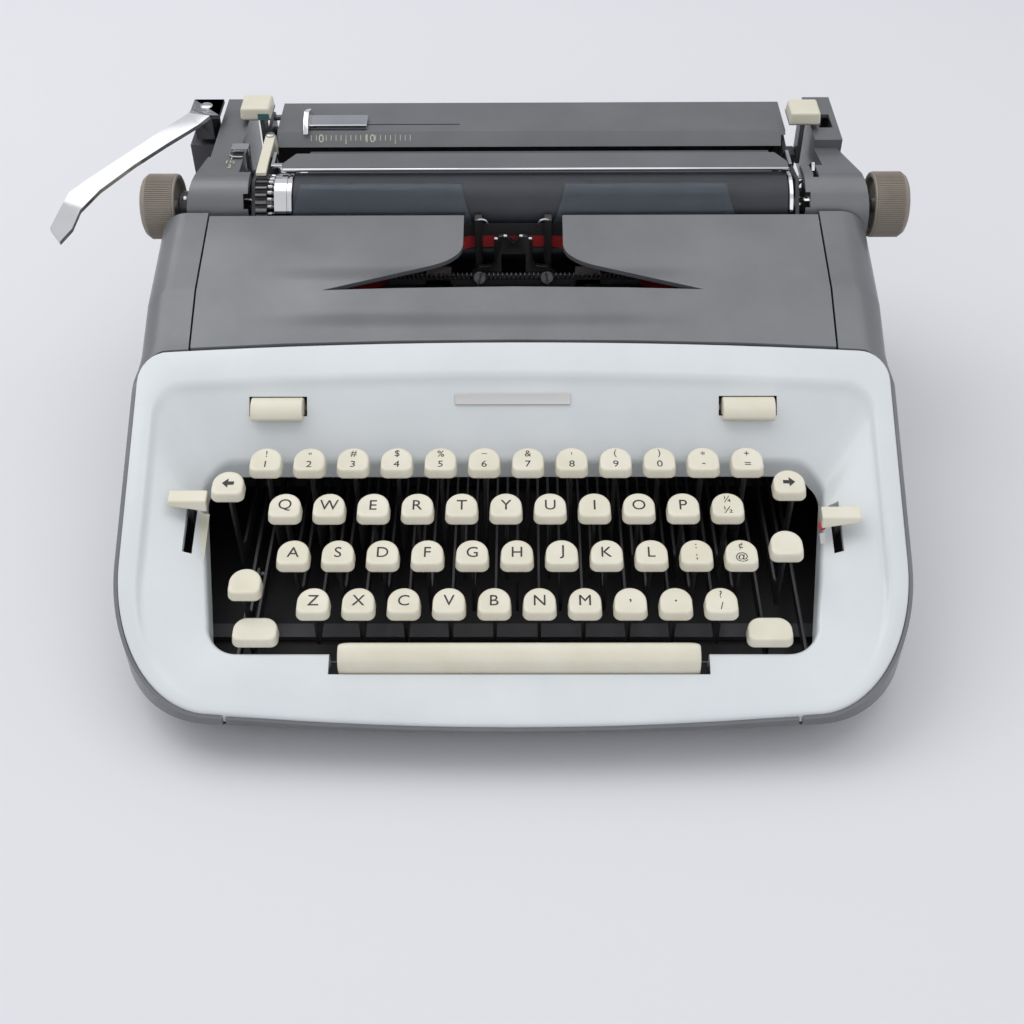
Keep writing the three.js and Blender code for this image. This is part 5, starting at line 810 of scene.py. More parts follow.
# Card holders: two clear plates curved round the platen that hold the paper against it, each screwed to the
# bridge by a foot.
clear, clear_tree, clear_shader = material_tree("clear_moulding",
                                                {"Transmission Weight": 0.95, "IOR": 1.22})
clear_noise = added(clear_tree, "ShaderNodeTexNoise", {"Scale": 90})
clear_place = added(clear_tree, "ShaderNodeTexCoord")
clear_tint = added(clear_tree, "ShaderNodeValToRGB")
clear_haze = added(clear_tree, "ShaderNodeMapRange", {"To Min": 0.04, "To Max": 0.16})
clear_tint.color_ramp.elements[0].color = (0.50, 0.56, 0.62, 1)
clear_tint.color_ramp.elements[1].color = (0.62, 0.68, 0.74, 1)
linked(clear_tree, (clear_place, "Object", clear_noise, "Vector"), (clear_noise, "Fac", clear_tint, "Fac"),
       (clear_tint, "Color", clear_shader, "Base Color"), (clear_noise, "Fac", clear_haze, "Value"),
       (clear_haze, "Result", clear_shader, "Roughness"))
for side in ("left", "right"):
    dress("card_holder_" + side, "base", clear, 0.15)

# Ribbon spools: two black stamped discs on a core, wound with ribbon, that turn on the spindles of the
# frame.
# The edge colour here is a painted highlight along the discs' sharp edges.
spool_paint = surface("black_spool_paint", (0.03, 0.03, 0.033), (0.018, 0.018, 0.02), 80, (0.3, 0.42), 0.03,
                      metallic=0.5, coat=0.2, edge=(0.12, 0.12, 0.125))
ribbon_black, ribbon_red = (0.012, 0.011, 0.012), (0.62, 0.02, 0.025)
spool_y, spool_low, spool_high, disc_wall = 91, 87.8, 104.8, 1.2


def cloth(name, split_low, split_high):
    """Inked woven ribbon: black above and red below a line, with the weave as fine bands."""
    material, tree, shader = material_tree(name, {"Sheen Weight": 0.3})
    coordinates = added(tree, "ShaderNodeTexCoord")
    parts = added(tree, "ShaderNodeSeparateXYZ")
    half = added(tree, "ShaderNodeMapRange", {"From Min": split_low, "From Max": split_high})
    mix = added(tree, "ShaderNodeMix", data_type="RGBA")
    mix.inputs["A"].default_value, mix.inputs["B"].default_value = (*ribbon_red, 1), (*ribbon_black, 1)
    ink = added(tree, "ShaderNodeTexNoise", {"Scale": 240})
    faded = added(tree, "ShaderNodeMix", {"Factor": 0.5}, data_type="RGBA", blend_type="MULTIPLY")
    weave = added(tree, "ShaderNodeTexWave", {"Scale": 900})
    dull = added(tree, "ShaderNodeMapRange", {"To Min": 0.75, "To Max": 0.95})
    relief = added(tree, "ShaderNodeBump", {"Strength": 0.5, "Distance": 0.08 * millimetre})
    linked(tree, (coordinates, "Object", parts, "Vector"), (parts, "Z", half, "Value"),
           (half, "Result", mix, "Factor"), (coordinates, "Object", ink, "Vector"),
           (coordinates, "Object", weave, "Vector"), (mix, "Result", faded, "A"),
           (ink, "Color", faded, "B"), (faded, "Result", shader, "Base Color"),
           (ink, "Fac", dull, "Value"), (dull, "Result", shader, "Roughness"),
           (weave, "Fac", relief, "Height"), (relief, "Normal", shader, "Normal"))
    return material


wound_ribbon = cloth("wound_ribbon", 0.0955, 0.0965)
for side, spool_x, wound in (("left", -98, 15.5), ("right", 98, 17)):
    body = "spool_%s_body" % side
    disc = [(2.8, 0.1), (21.6, 0), (22, 0.35), (22, 0.85), (21.6, 1.2), (2.8, 1.2)]
    low_disc = turned("disc", disc, "Z", spool_x, spool_y, spool_low)
    high_disc = turned("disc", disc, "Z", spool_x, spool_y, spool_high - disc_wall - 0.001)
    holes = [turned("hole", [(2.6, -1), (2.6, 4)], "Z", spool_x + 12.6 * math.cos(t),
                    spool_y + 12.6 * math.sin(t), spool_high - 2, 24)
             for t in [math.pi * 2 / 3 * k + 0.4 for k in range(3)]]
    high_disc = eased(combined(high_disc, holes, "DIFFERENCE"), 0.08, 1)
    add_piece("spool_discs_" + side, joined("discs", [low_disc, high_disc]), body,
              spool_paint, ["spool_" + side])
    winding = turned("winding", [(2.9, 1.25), (wound - 0.3, 1.25), (wound, 1.6), (wound, 15.4),
                                 (wound - 0.3, 15.75), (2.9, 15.75)], "Z", spool_x, spool_y, spool_low)
    add_piece("ribbon_winding_" + side, winding, body, wound_ribbon)

# Ribbon: a woven cotton band, inked black over red, that runs from spool to spool behind the type guide and
# through the vibrator's hooks. The spools hold it taut, and each half bends from its spool to the vibrator.
ribbon_width, ribbon_wall = 13.0, 0.16
ribbon_path = [(-82.5, 105.5, 89.8), (-60, 114.5, 95.2), (-38, 123.6, 101.0), (-24, 128.6, 105.0),
               (-17, 129.45, 105.8), (0, 129.45, 105.8)]
ribbon_line = through(ribbon_path, 8)


def ribbon_half(side):
    """The half of the ribbon on one side of the middle, with an end face at each end."""
    def build(shape):
        line = [Vector((-side * p.x, p.y, p.z)) for p in ribbon_line]
        rows = []
        for i, point in enumerate(line):
            along = (line[min(i + 1, len(line) - 1)] - line[max(i - 1, 0)]).normalized()
            out = Vector((along.y, -along.x, 0)).normalized() * ribbon_wall / 2
            tall = Vector((0, 0, ribbon_width))
            rows.append([shape.verts.new(place(*(point + offset))) for offset in
                         (-out, out, out + tall * 0.5, out + tall, tall - out, tall * 0.5 - out)])
        skinned(shape, rows)
    return build


ribbon_cloth = cloth("inked_ribbon", 0.1118, 0.1124)
for side, word in ((-1, "left"), (1, "right")):
    half_band = shape_of("ribbon", ribbon_half(side))
    half_band.materials.clear()
    half_band.materials.append(ribbon_cloth)
    half_ribbon = placed_object("ribbon_band_" + word, half_band)
    if side < 0:
        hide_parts("ribbon")
    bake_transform(half_ribbon)

# Ribbon cover: the hinged lid over the spools and typebars, pressed from sheet steel with folded edges and
# enamelled like the casing. Two pins at its back corners turn in the casing.
cover_paint = surface("cover_enamel", grey_light, grey_dark, 34, (0.34, 0.46), 0.05, metallic=0.25,
                      coat=0.25)
cover_tree = cover_paint.node_tree
cover_place = added(cover_tree, "ShaderNodeTexCoord")
cover_split = added(cover_tree, "ShaderNodeSeparateXYZ")
cover_aside = added(cover_tree, "ShaderNodeMath", operation="ABSOLUTE")
linked(cover_tree, (cover_place, "Object", cover_split, "Vector"), (cover_split, "X", cover_aside, 0))
ridge, ridge_as = None, "Result"
for source, source_as, low, high in ((cover_split, "Y", place(0, 60, 0).y, place(0, 71, 0).y),
                                     (cover_split, "Y", place(0, 96, 0).y, place(0, 84, 0).y),
                                     (cover_aside, "Value", 0.125, 0.045)):
    slope_part = added(cover_tree, "ShaderNodeMapRange", interpolation_type="SMOOTHERSTEP")
    slope_part.inputs["From Min"].default_value, slope_part.inputs["From Max"].default_value = low, high
    linked(cover_tree, (source, source_as, slope_part, "Value"))
    if ridge is None:
        ridge = slope_part
        continue
    product = added(cover_tree, "ShaderNodeMath", operation="MULTIPLY")
    linked(cover_tree, (ridge, ridge_as, product, 0), (slope_part, "Result", product, 1))
    ridge, ridge_as = product, "Value"
ridge_bump = added(cover_tree, "ShaderNodeBump", {"Strength": 1, "Distance": 2.2 * millimetre})
linked(cover_tree, (ridge, ridge_as, ridge_bump, "Height"),
       (ridge_bump, "Normal", cover_tree.nodes["Bump"], "Normal"))


def round_fingers(shape):
    """Rounds the inner corners of the cover's two fingers in plan."""
    shape.from_mesh(solid_copy("ribbon_cover"))
    upright = []
    for edge in shape.edges:
        a, b = (v.co - place(0, 0, 0) for v in edge.verts)
        flat = math.hypot(a.x - b.x, a.y - b.y)
        inside = all(20 < abs(p.x) / millimetre < 40 and 92 < p.y / millimetre < 110 for p in (a, b))
        if inside and flat < 0.3 * millimetre and abs(a.z - b.z) > millimetre:
            upright.append(edge)
    bmesh.ops.bevel(shape, geom=upright, offset=4.5 * millimetre, segments=5, affect="EDGES", profile=0.5,
                    clamp_overlap=True)


cover = eased(shape_of("ribbon_cover", round_fingers), 0.7, 3, 20)
add_piece("ribbon_cover_lid", cover, "ribbon_cover_body", cover_paint, ["ribbon_cover"])

# Key sets: moulded cream caps pressed on steel levers, which turn in fours on one sleeve on the fulcrum
# rod. Each cap has a dished top, rounded edges and its letters and figures moulded in black.
cream_light, cream_dark = (0.83, 0.79, 0.66), (0.76, 0.715, 0.56)
key_plastic = surface("moulded_cream_plastic", cream_light, cream_dark, 55, (0.28, 0.42), 0.02, coat=0.15)
key_shader = key_plastic.node_tree.nodes["Principled BSDF"]
key_shader.inputs["Subsurface Weight"].default_value = 0.05
key_shader.inputs["Subsurface Radius"].default_value = (0.002, 0.0016, 0.001)
legend_ink = surface("black_legend_plastic", (0.012, 0.012, 0.012), (0.007, 0.007, 0.007), 80,
                     (0.4, 0.55), 0.01)
lever_steel = surface("lever_steel", (0.11, 0.11, 0.115), (0.055, 0.055, 0.06), 90, (0.3, 0.48), 0.02,
                      metallic=0.85, stretch=(1, 0.1, 1))
key_pitch, row_drop, top_row_height = 19.05, 9.5, 82
legend_rise = 0.06
cap_steps, cap_tilt, cap_width = 10, 0.11, 14.4


def cap_ring(width, depth, inset, corner, dome):
    """The outline of a key cap: straight in front with rounded corners, domed behind."""
    half, reach = width / 2 - inset, depth / 2 - inset
    round_back = dome - inset
    ring = []
    for x, y, radius, start in ((half - corner, corner - reach, corner, -90),
                                (half - round_back, reach - round_back, round_back, 0),
                                (round_back - half, reach - round_back, round_back, 90),
                                (corner - half, corner - reach, corner, 180)):
        for k in range(cap_steps):
            turn = math.radians(start + 90 * (k + 0.5) / cap_steps)
            ring.append((x + radius * math.cos(turn), y + radius * math.sin(turn)))
    return ring


def dish(u, v, width):
    """How far the cap's top is hollowed at a place on it."""
    reach = min((u * u + v * v) / (width * 0.40) ** 2, 1)
    return 0.42 * (1 - reach)


def cap_mesh(width=cap_width, depth=14.0, height=5.4, dome=7.2):
    """A key cap at the origin, its top in the plane of zero height."""
    def build(shape):
        sections = [(0.9, -height, 3.0), (0.25, -height + 0.1, 3.0), (0.25, -height + 0.9, 3.0),
                    (0, -height + 1.1, 3.0), (0, -height + 1.4, 3.0), (0.3, -1.3, 3.1), (0.42, -0.6, 3.1),
                    (0.62, -0.22, 3.1), (0.95, -0.03, 3.1), (1.4, 0, 3.1)]
        rings = []
        for inset, z, corner in sections:
            rings.append([(x, y, z) for x, y in cap_ring(width, depth, inset, corner, dome)])
        rim = rings[-1]
        for share in (0.85, 0.68, 0.5, 0.3, 0.12):
            rings.append([(x * share, y * share, -dish(x * share, y * share, width)) for x, y, _ in rim])
        rails = [[shape.verts.new(Vector((x, y, z + y * cap_tilt * min(1, (z + height) / (height - 1.4))))
                                  * millimetre) for x, y, z in ring] for ring in rings]
        skinned(shape, rails)
    mesh = shape_of("cap", build)
    mesh.shade_smooth()
    mesh.set_sharp_from_angle(angle=math.radians(48))
    return mesh


letter_shapes = {}


def letter_mesh(text, size, weight=0.0):
    """A flat letter or sign of a given height, centred on the origin and slightly thick."""
    if (text, size) not in letter_shapes:
        curve = bpy.data.curves.new("letter", "FONT")
        curve.body, curve.size = text, size * 1.38 * millimetre
        curve.align_x, curve.align_y = "CENTER", "CENTER"
        curve.offset = weight * millimetre * size
        curve.extrude = 0.03 * millimetre
        curve.resolution_u = 4
        mesh = finished_mesh(placed_object("letter", curve))
        low = [min(v.co[a] for v in mesh.vertices) for a in (0, 1)]
        high = [max(v.co[a] for v in mesh.vertices) for a in (0, 1)]
        mesh.transform(Matrix.Translation((-(low[0] + high[0]) / 2, -(low[1] + high[1]) / 2, 0)))
        letter_shapes[text, size] = mesh
    return letter_shapes[text, size].copy()


def legend(marks, x, y, top):
    """Letters set into the dished top of a cap, each mark being its text, size and place on the cap."""
    placed = []
    for text, size, u, v in marks:
        mesh = letter_mesh(text, size)
        for vertex in mesh.vertices:
            across, along = vertex.co.x / millimetre + u, vertex.co.y / millimetre + v
            vertex.co.x, vertex.co.y = across * millimetre, along * millimetre
            vertex.co.z += (along * cap_tilt - dish(across, along, cap_width) + legend_rise) * millimetre
        mesh.transform(Matrix.Translation(place(x, y, top)))
        placed.append(mesh)
    return placed


lever_sheet = 1.4


def lever_mesh(lever_x, y, top):
    """A key lever: a stamped strip from the fulcrum rod forward, turned up into a stem under its cap."""
    low, high = 26.0, 33.0
    outline = [(y - 2.4, low + 2), (y - 0.4, low), (fulcrum_y, low), (fulcrum_y, high), (y + 9, high),
               (y + 4.5, high + 2.2), (y + 2.6, high + 6), (y + 2.6, top - 2.7), (y - 2.4, top - 2.7)]
    return eased(prism_x(lever_x - lever_sheet / 2, lever_x + lever_sheet / 2, outline), 0.2, 1)


def hub_mesh(x0, x1):
    profile = [(2.9, 0), (5.0, 0), (5.5, 0.5), (5.5, x1 - x0 + 2.5), (5.0, x1 - x0 + 3), (2.9, x1 - x0 + 3)]
    return turned("hub", profile, "X", x0 - 1.5, fulcrum_y, fulcrum_z, 32)


rows = ["1234567890-=", "QWERTYUIOP½", "ASDFGHJKL;@", "ZXCVBNM,./"]
upper = {"1": "!", "2": "\"", "3": "#", "4": "$", "5": "%", "6": "_", "7": "&", "8": "'", "9": "(",
         "0": ")", "-": "*", "=": "+", "½": "¼", ";": ":", "@": "¢", "/": "?"}
row_order, first_key_x = (0, 3, 1, 2), -107.475
key_cap = cap_mesh()
for number in range(11):
    caps, levers, letters, columns = [], [], [], []
    for k in range(4):
        slot_number = number * 4 + k
        if slot_number > 0:
            slot_number += 1
        row = row_order[slot_number % 4]
        x, y = first_key_x + slot_number * key_pitch / 4, -row * key_pitch
        top = top_row_height - row * row_drop
        caps.append((x, y, top))
        columns.append(x)
        levers.append(lever_mesh(x, y, top))
        column = slot_number // 4 - (1 if row == 3 else 0)
        sign = rows[row][column]
        if sign in ",.":
            letters += legend([(sign, 5.2, 0, 0)], x, y, top)
        elif sign in upper:
            letters += legend([(sign, 4.0, 0, -2.7), (upper[sign], 3.4, 0, 3.2)], x, y, top)
        else:
            letters += legend([(sign, 5.6, 0, 0.2)], x, y, top)
    body = "key_set_%02d_body" % (number + 1)
    node = "key_set_%02d" % (number + 1)
    add_piece(node + "_caps", copied("caps", key_cap, caps, key_plastic), body, key_plastic,
              [node])
    hub = hub_mesh(min(columns), max(columns))
    add_piece(node + "_levers", joined("levers", levers + [hub]), body, lever_steel)
    add_piece(node + "_letters", joined("letters", letters), body, legend_ink)

# Space bar: one long moulding with a rounded top that slopes to the front, on a bent steel rod whose
# two arms run back to the fulcrum rod.
bar_left, bar_right, bar_foot_y, bar_foot_z = -72.9, 78.7, -75.5, 31.3
bar_section = [(-80.0, 31.3), (-71.1, 31.3), (-70.9, 41.6), (-71.3, 42.7), (-72.2, 43.25), (-73.4, 43.2),
               (-75.2, 42.6), (-77.2, 41.4), (-78.7, 39.9), (-79.6, 38.2), (-80.2, 35.6)]


def space_bar(shape):
    ends = [(0, 0.86), (0.5, 0.91), (1.4, 0.955), (2.8, 0.985), (5, 1.0)]
    stations = [(bar_left + d, s) for d, s in ends] + [(bar_right - d, s) for d, s in reversed(ends)]
    rails = [[shape.verts.new(place(x, bar_foot_y + (y - bar_foot_y) * s,
                                    bar_foot_z + (z - bar_foot_z) * (0.4 + 0.6 * s)))
              for y, z in bar_section] for x, s in stations]
    skinned(shape, rails)


add_piece("space_bar_moulding", eased(shape_of("space_bar", space_bar), 0.35, 3, 40), "space_bar_body",
          key_plastic, ["space_bar"])
bar_rod = turned("rod", [(1.4, 0), (2, 0.6), (2, 245.4), (1.4, 246)], "X", -118.7, -76, 24, 24)
bar_parts = [bar_rod]
bar_arm_outline = [(-78.4, 23), (-77, 21.6), (134.6, 26.6), (135.4, 33), (-77, 26.4), (-78.4, 25)]
for bar_arm_x in (-117.9, 126.5):
    bar_arm = prism_x(bar_arm_x - 0.8, bar_arm_x + 0.8, bar_arm_outline)
    bar_parts += [eased(bar_arm, 0.2, 1), hub_mesh(bar_arm_x, bar_arm_x)]
bar_parts += [block(x - 2, x + 2, -77.8, -74.2, 24, 32.4) for x in (-58.9, 64.7)]
add_piece("space_bar_rod", joined("space_bar_rod", bar_parts), "space_bar_body",
          lever_steel)

# Function keys: the shift keys, back space, tabulator and margin release. Their caps are the same cream
# moulding, the shift caps being wider, and their levers lie outside the letter keys' levers.
def arrow(turn, size, x, y, top):
    """A plain arrow set into the top of a cap."""
    half = size / 2
    outline = [(half, 0), (0, half), (0, half * 0.36), (-half, half * 0.36), (-half, -half * 0.36),
               (0, -half * 0.36), (0, -half)]
    mesh = prism("Z", -0.03, 0.03, outline)
    mesh.transform(Matrix.Rotation(math.radians(turn), 4, "Z"))
    for vertex in mesh.vertices:
        u, v = vertex.co.x / millimetre, vertex.co.y / millimetre
        vertex.co.z += (v * cap_tilt - dish(u, v, cap_width) + legend_rise) * millimetre
    mesh.transform(Matrix.Translation(place(x, y, top)))
    return mesh


shift_cap = cap_mesh(19.5, 12.4, dome=6.2)
function_keys = {
    "shift_key_left": (shift_cap, -108.5, -64.15, 43.5, -110.9, None),
    "shift_key_right": (shift_cap, 108.5, -64.15, 43.5, 108.2, None),
    "backspace_key": (key_cap, -123.2, -10, 77.3, -123.2, 180),
    "tab_key": (key_cap, 119.6, -9.5, 77.2, 122.0, 0),
    "margin_release_key": (key_cap, 116.7, -34.29, 64.8, 116.7, None),
}
for node, (cap, x, y, top, lever_x, turn) in function_keys.items():
    body = node + "_body"
    add_piece(node + "_cap", copied("cap", cap, [(x, y, top)], key_plastic), body,
              key_plastic, [node])
    add_piece(node + "_lever", joined("lever", [lever_mesh(lever_x, y, top), hub_mesh(lever_x, lever_x)]),
              body, lever_steel)
    if turn is not None:
        add_piece(node + "_arrow", arrow(turn, 5.2, x, y, top), body, legend_ink)

# Shift lock: its own cream cap on a short latch lever that is pinned to the left shift lever.
lock_x, lock_y, lock_top, lock_lever_x = -112.9, -49.5, 57.3, -114.4
add_piece("shift_lock_cap", copied("cap", key_cap, [(lock_x, lock_y, lock_top)], key_plastic),
          "shift_lock_body", key_plastic, ["shift_lock"])
lock_outline = [(-52, 28), (-50, 26.8), (-19, 26.8), (-17, 28.6), (-17, 31.6), (-19, 33.2), (-45, 33.2),
                (-47, 35), (-47, 54.6), (-52, 54.6)]
lock_arm = prism_x(lock_lever_x - 0.7, lock_lever_x + 0.7, lock_outline)
lock_pin = turned("pin", [(1.1, 0), (1.5, 0.3), (1.5, 4)], "X", -114.4, -20, 30, 20)
add_piece("shift_lock_arm", joined("lock_arm", [eased(lock_arm, 0.2, 1), lock_pin]), "shift_lock_body",
          lever_steel)

# Column rockers: two cream mouldings in the bowl's back panel, each with a finger shelf, that rock on a pin
# behind the panel.
rocker_section = [(-7.0, 2.6), (-4.1, 2.4), (-4.1, -7.0), (3.8, -7.0), (3.8, 2.4), (3.0, 4.2), (1.0, 5.9),
                  (-1.6, 6.7), (-3.6, 6.9), (-6.2, 6.1), (-7.0, 5.2)]
for node, x in (("column_clear_key", -rocker_x), ("column_set_key", rocker_x)):
    rocker = eased(prism_x(x - 11.6, x + 11.6, panel_outline(rocker_section)), 0.9, 3, 24)
    pin_at = rocker_middle - panel_off * 7
    rocker_pin = turned("pin", [(1.2, 0), (1.5, 0.3), (1.5, 31.5), (1.2, 31.8)], "X", x - 15.9, pin_at.y,
                        pin_at.z, 20)
    add_piece(node + "_moulding", joined(node, [rocker, rocker_pin]), node + "_body",
              key_plastic, [node])

# Side levers: a steel blade on a low pivot comes up through the slot in the bowl to a moulded cream
# knob, on the left for the touch and on the right for the ribbon colour.
blade_length, blade_pivot_y, blade_pivot_z = 46, -8.3, 21.2
for node, side, lean in (("touch_lever", -1, -4), ("ribbon_selector", 1, -15.5)):
    x, turn = side * side_slot_x, math.radians(90 - lean)
    tip_y = blade_pivot_y + blade_length * math.cos(turn)
    tip_z = blade_pivot_z + blade_length * math.sin(turn)
    low, high, half = tip_z - 2, tip_z + 4.4, 8.5
    section = [(tip_y - 4.5, low), (tip_y + 4.5, low + 0.3), (tip_y + 3.1, high), (tip_y - 2.9, high - 1.0)]
    knob = prism_x(x - half, x + half, section)
    for vertex in knob.vertices:
        outward = (vertex.co.x - place(x, 0, 0).x) * side / (half * millimetre)
        if outward > 0 and vertex.co.z < place(0, 0, low + 1).z:
            vertex.co.z += 3.9 * millimetre
    knob = eased(knob, 0.8, 3, 20)
    add_piece(node + "_knob", knob, node + "_body", key_plastic, [node])
    across = Vector((0, -math.sin(turn), math.cos(turn))) * 2
    foot, head = Vector((0, blade_pivot_y, blade_pivot_z)), Vector((0, tip_y, tip_z))
    blade_outline = [(p.y, p.z) for p in (foot - across, head - across, head + across, foot + across)]
    blade = eased(prism_x(x - 0.8, x + 0.8, blade_outline), 0.2, 1)
    pin_x0 = min(x, side * 152.3)
    boss = turned("boss", [(3.4, 0), (4, 0.4), (4, 1.2), (3.4, 1.6)], "X", x - 0.8, blade_pivot_y,
                  blade_pivot_z, 24)
    pin = turned("pin", [(1.6, 0), (2, 0.4), (2, 10.3), (1.6, 10.7)], "X", pin_x0, blade_pivot_y,
                 blade_pivot_z, 24)
    add_piece(node + "_blade", joined("blade", [blade, boss, pin]), node + "_body",
              lever_steel)

# Bowl fittings: a cream strip with the touch letters beside the left slot, coloured marks beside the right
# slot, and a plain brushed strip in the middle of the back panel, glued into the bowl.
def bowl_height(x, y):
    """The bowl's surface height at a place beside the key well."""
    outer_x, inner_x = bezel_half - 10.4, well_half - 9 * max(0, -3 - y) / 55.8
    share = min(max((abs(x) - inner_x) / (outer_x - inner_x), 0), 1)
    return well_height(y) * (1 - share) + (rim_height(y) - 3) * share


def bowl_plate(x0, x1, y0, y1, lift):
    """A thin strip that lies on the bowl."""
    def build(shape):
        steps = 8
        rows = []
        for i in range(steps + 1):
            y = y0 + (y1 - y0) * i / steps
            rows.append([shape.verts.new(place(x, y, bowl_height(x, y) + h)) for x, h in
                         ((x0, 0), (x1, 0), (x1, lift), (x0, lift))])
        skinned(shape, rows)
    return eased(shape_of("plate", build), 0.1, 1)


def bowl_letters(text, size, x, y, lift):
    mesh = letter_mesh(text, size, 0.03)
    for vertex in mesh.vertices:
        u, v = x + vertex.co.x / millimetre, y + vertex.co.y / millimetre
        vertex.co = place(u, v, bowl_height(u, v) + lift) + Vector((0, 0, vertex.co.z))
    return mesh


strip_paper = surface("printed_cream_strip", (0.72, 0.70, 0.58), (0.62, 0.59, 0.46), 70, (0.4, 0.55), 0.01)
add_piece("touch_strip", bowl_plate(-139.2, -134.4, -32.5, -9, 0.35), "base", strip_paper)
touch_places = (("L", -13.5), ("M", -20.8), ("H", -28))
touch_marks = [bowl_letters(letter, 3.0, -136.8, y, 0.37) for letter, y in touch_places]
add_piece("touch_letters", joined("touch_letters", touch_marks), "base", legend_ink)
red_paint = surface("red_mark_paint", (0.55, 0.02, 0.02), (0.42, 0.012, 0.015), 90, (0.4, 0.5), 0.01)
white_mark = surface("white_mark_paint", (0.8, 0.8, 0.78), (0.72, 0.72, 0.7), 90, (0.4, 0.5), 0.01)
add_piece("selector_red_mark", bowl_plate(134.6, 138.6, -17, -12.5, 0.3), "base", red_paint)
add_piece("selector_white_mark", bowl_plate(134.6, 138.6, -23.5, -18.5, 0.3), "base",
          white_mark)
badge_outline = [(x * 26, y * 2.6) for x, y in ((-1, -0.8), (-0.985, -1), (0.985, -1), (1, -0.8),
                                                (1, 0.8), (0.985, 1), (-0.985, 1), (-1, 0.8))]
badge = eased(prism("Z", 0, 0.9, badge_outline), 0.25, 2)
badge_basis = Matrix((Vector((1, 0, 0)), panel_along, panel_off)).transposed().to_4x4()
badge_spot = rocker_middle + panel_along * 3.2
badge.transform(Matrix.Translation(place(0, badge_spot.y, badge_spot.z)) @ badge_basis)
badge_metal = surface("brushed_badge_metal", (0.55, 0.55, 0.54), (0.42, 0.42, 0.41), 60, (0.28, 0.42),
                      0.02, metallic=1.0, stretch=(0.06, 1, 1))
add_piece("plain_badge", badge, "base", badge_metal)

# Carriage truck and paper pan: two side plates on a floor that runs along the rail, and the trough
# under the platen. All are pressed steel, dipped in black enamel.
dress("carriage_truck", "carriage_body", black_paint, 0.2, 1)
dress("paper_pan", "carriage_body", black_paint, 0.15, 1)

# End covers: two drawn steel hoods over the carriage's side plates, rounded in front and stepped down
# behind, enamelled like the casing. The left one has a rimmed slot for the line-space selector.
for side in ("left", "right"):
    dress(side + "_end_cover", "carriage_body", casing_paint, 1.6, 4, 34)
cream_paint = surface("cream_figure_paint", (0.72, 0.68, 0.5), (0.62, 0.58, 0.42), 80, (0.4, 0.55), 0.01)
figure_meshes = []
for text, y in (("1", 165.2), ("1½", 161.3), ("2", 157.2)):
    figure = letter_mesh(text, 3.0)
    figure.transform(Matrix.Translation(place(-139.6, y, 134.55)))
    figure_meshes.append(figure)
add_piece("line_space_figures", joined("figures", figure_meshes), "carriage_body", cream_paint)

slot_rim = wire("slot_rim", [(-134.6, 166.4, 134.4), (-138.2, 166.4, 134.4), (-140.6, 167.6, 134.4),
                             (-141.3, 170, 134.4), (-140.6, 172.4, 134.4), (-138.2, 173.6, 134.4),
                             (-134.6, 173.6, 134.4)], 0.4, ground_steel)
add_piece("selector_slot_rim", slot_rim, "carriage_body", ground_steel)
slot_floor = prism("Z", 0, 0.1, [(-134.6, 166.4), (-134.6, 173.6), (-138.4, 173.6), (-140.6, 172.4),
                                 (-141.3, 170), (-140.6, 167.6), (-138.4, 166.4)])
slot_floor.transform(Matrix.Translation(place(0, 0, 134.25)))
add_piece("selector_slot_floor", slot_floor, "carriage_body", black_paint)

# Platen: a wooden core under a ground rubber sleeve, with a chromed cap at each end, on a steel shaft
# that also carries the two black collars. The left cap has an index line.
chrome = surface("chrome_plate", (0.62, 0.63, 0.64), (0.55, 0.56, 0.57), 50, (0.06, 0.16), 0.01,
                 metallic=1.0)
platen_rubber = surface("ground_platen_rubber", (0.017, 0.021, 0.030), (0.010, 0.013, 0.019), 60,
                        (0.38, 0.55), 0.04)
platen_y, platen_z = 149, 117
platen = turned("platen", [(4.2, 0), (15.5, 0), (16, 0.5), (16, 239.7), (15.5, 240.2), (4.2, 240.2)], "X",
                -107, platen_y, platen_z, 96)
add_piece("platen_sleeve", platen, "platen_body", platen_rubber, ["platen"])
left_cap = turned("left_cap", [(4.2, 0), (14.8, 0), (16, 1.0), (16, 6.9), (15.6, 7.1), (15.6, 7.6),
                               (16, 7.8), (16, 9.3), (15.7, 9.6), (4.2, 9.6)], "X", -116.9, platen_y,
                  platen_z, 96)
right_cap = turned("right_cap", [(4.2, 0), (15.7, 0), (16, 0.3), (16, 1.8), (15.5, 2.2), (4.2, 2.2)], "X",
                   133.5, platen_y, platen_z, 96)
shaft = turned("shaft", [(3.5, 0), (4, 0.5), (4, 367.1), (3.5, 367.6)], "X", -178.6, platen_y, platen_z, 32)
add_piece("platen_shaft_and_caps", joined("shaft", [left_cap, right_cap, shaft]), "platen_body",
          chrome, ["platen_shaft"])
index_line = prism("X", 0.6, 6.4, [(-0.16, 15.9), (0.16, 15.9), (0.16, 16.04), (-0.16, 16.04)])
index_line.transform(Matrix.Rotation(math.radians(22), 4, "X"))
index_line.transform(Matrix.Translation(place(-116.9, platen_y, platen_z)))
add_piece("platen_index_line", index_line, "platen_body", legend_ink)
collars = []
for x, length in ((-164.5, 8.0), (170, 4.9)):
    collar_profile = [(4.1, 0), (7.0, 0), (7.5, 0.5), (7.5, length - 2.2), (6.4, length - 1.9),
                      (6.4, length), (4.1, length)]
    collars.append(turned("collar", collar_profile, "X", x, platen_y, platen_z, 40))
collar_screws = [turned("screw", [(1.0, -1), (1.3, 0.2), (1.2, 0.6), (0.8, 0.8)], "Z", 0, 0, 0, 16)
                 for _ in range(4)]
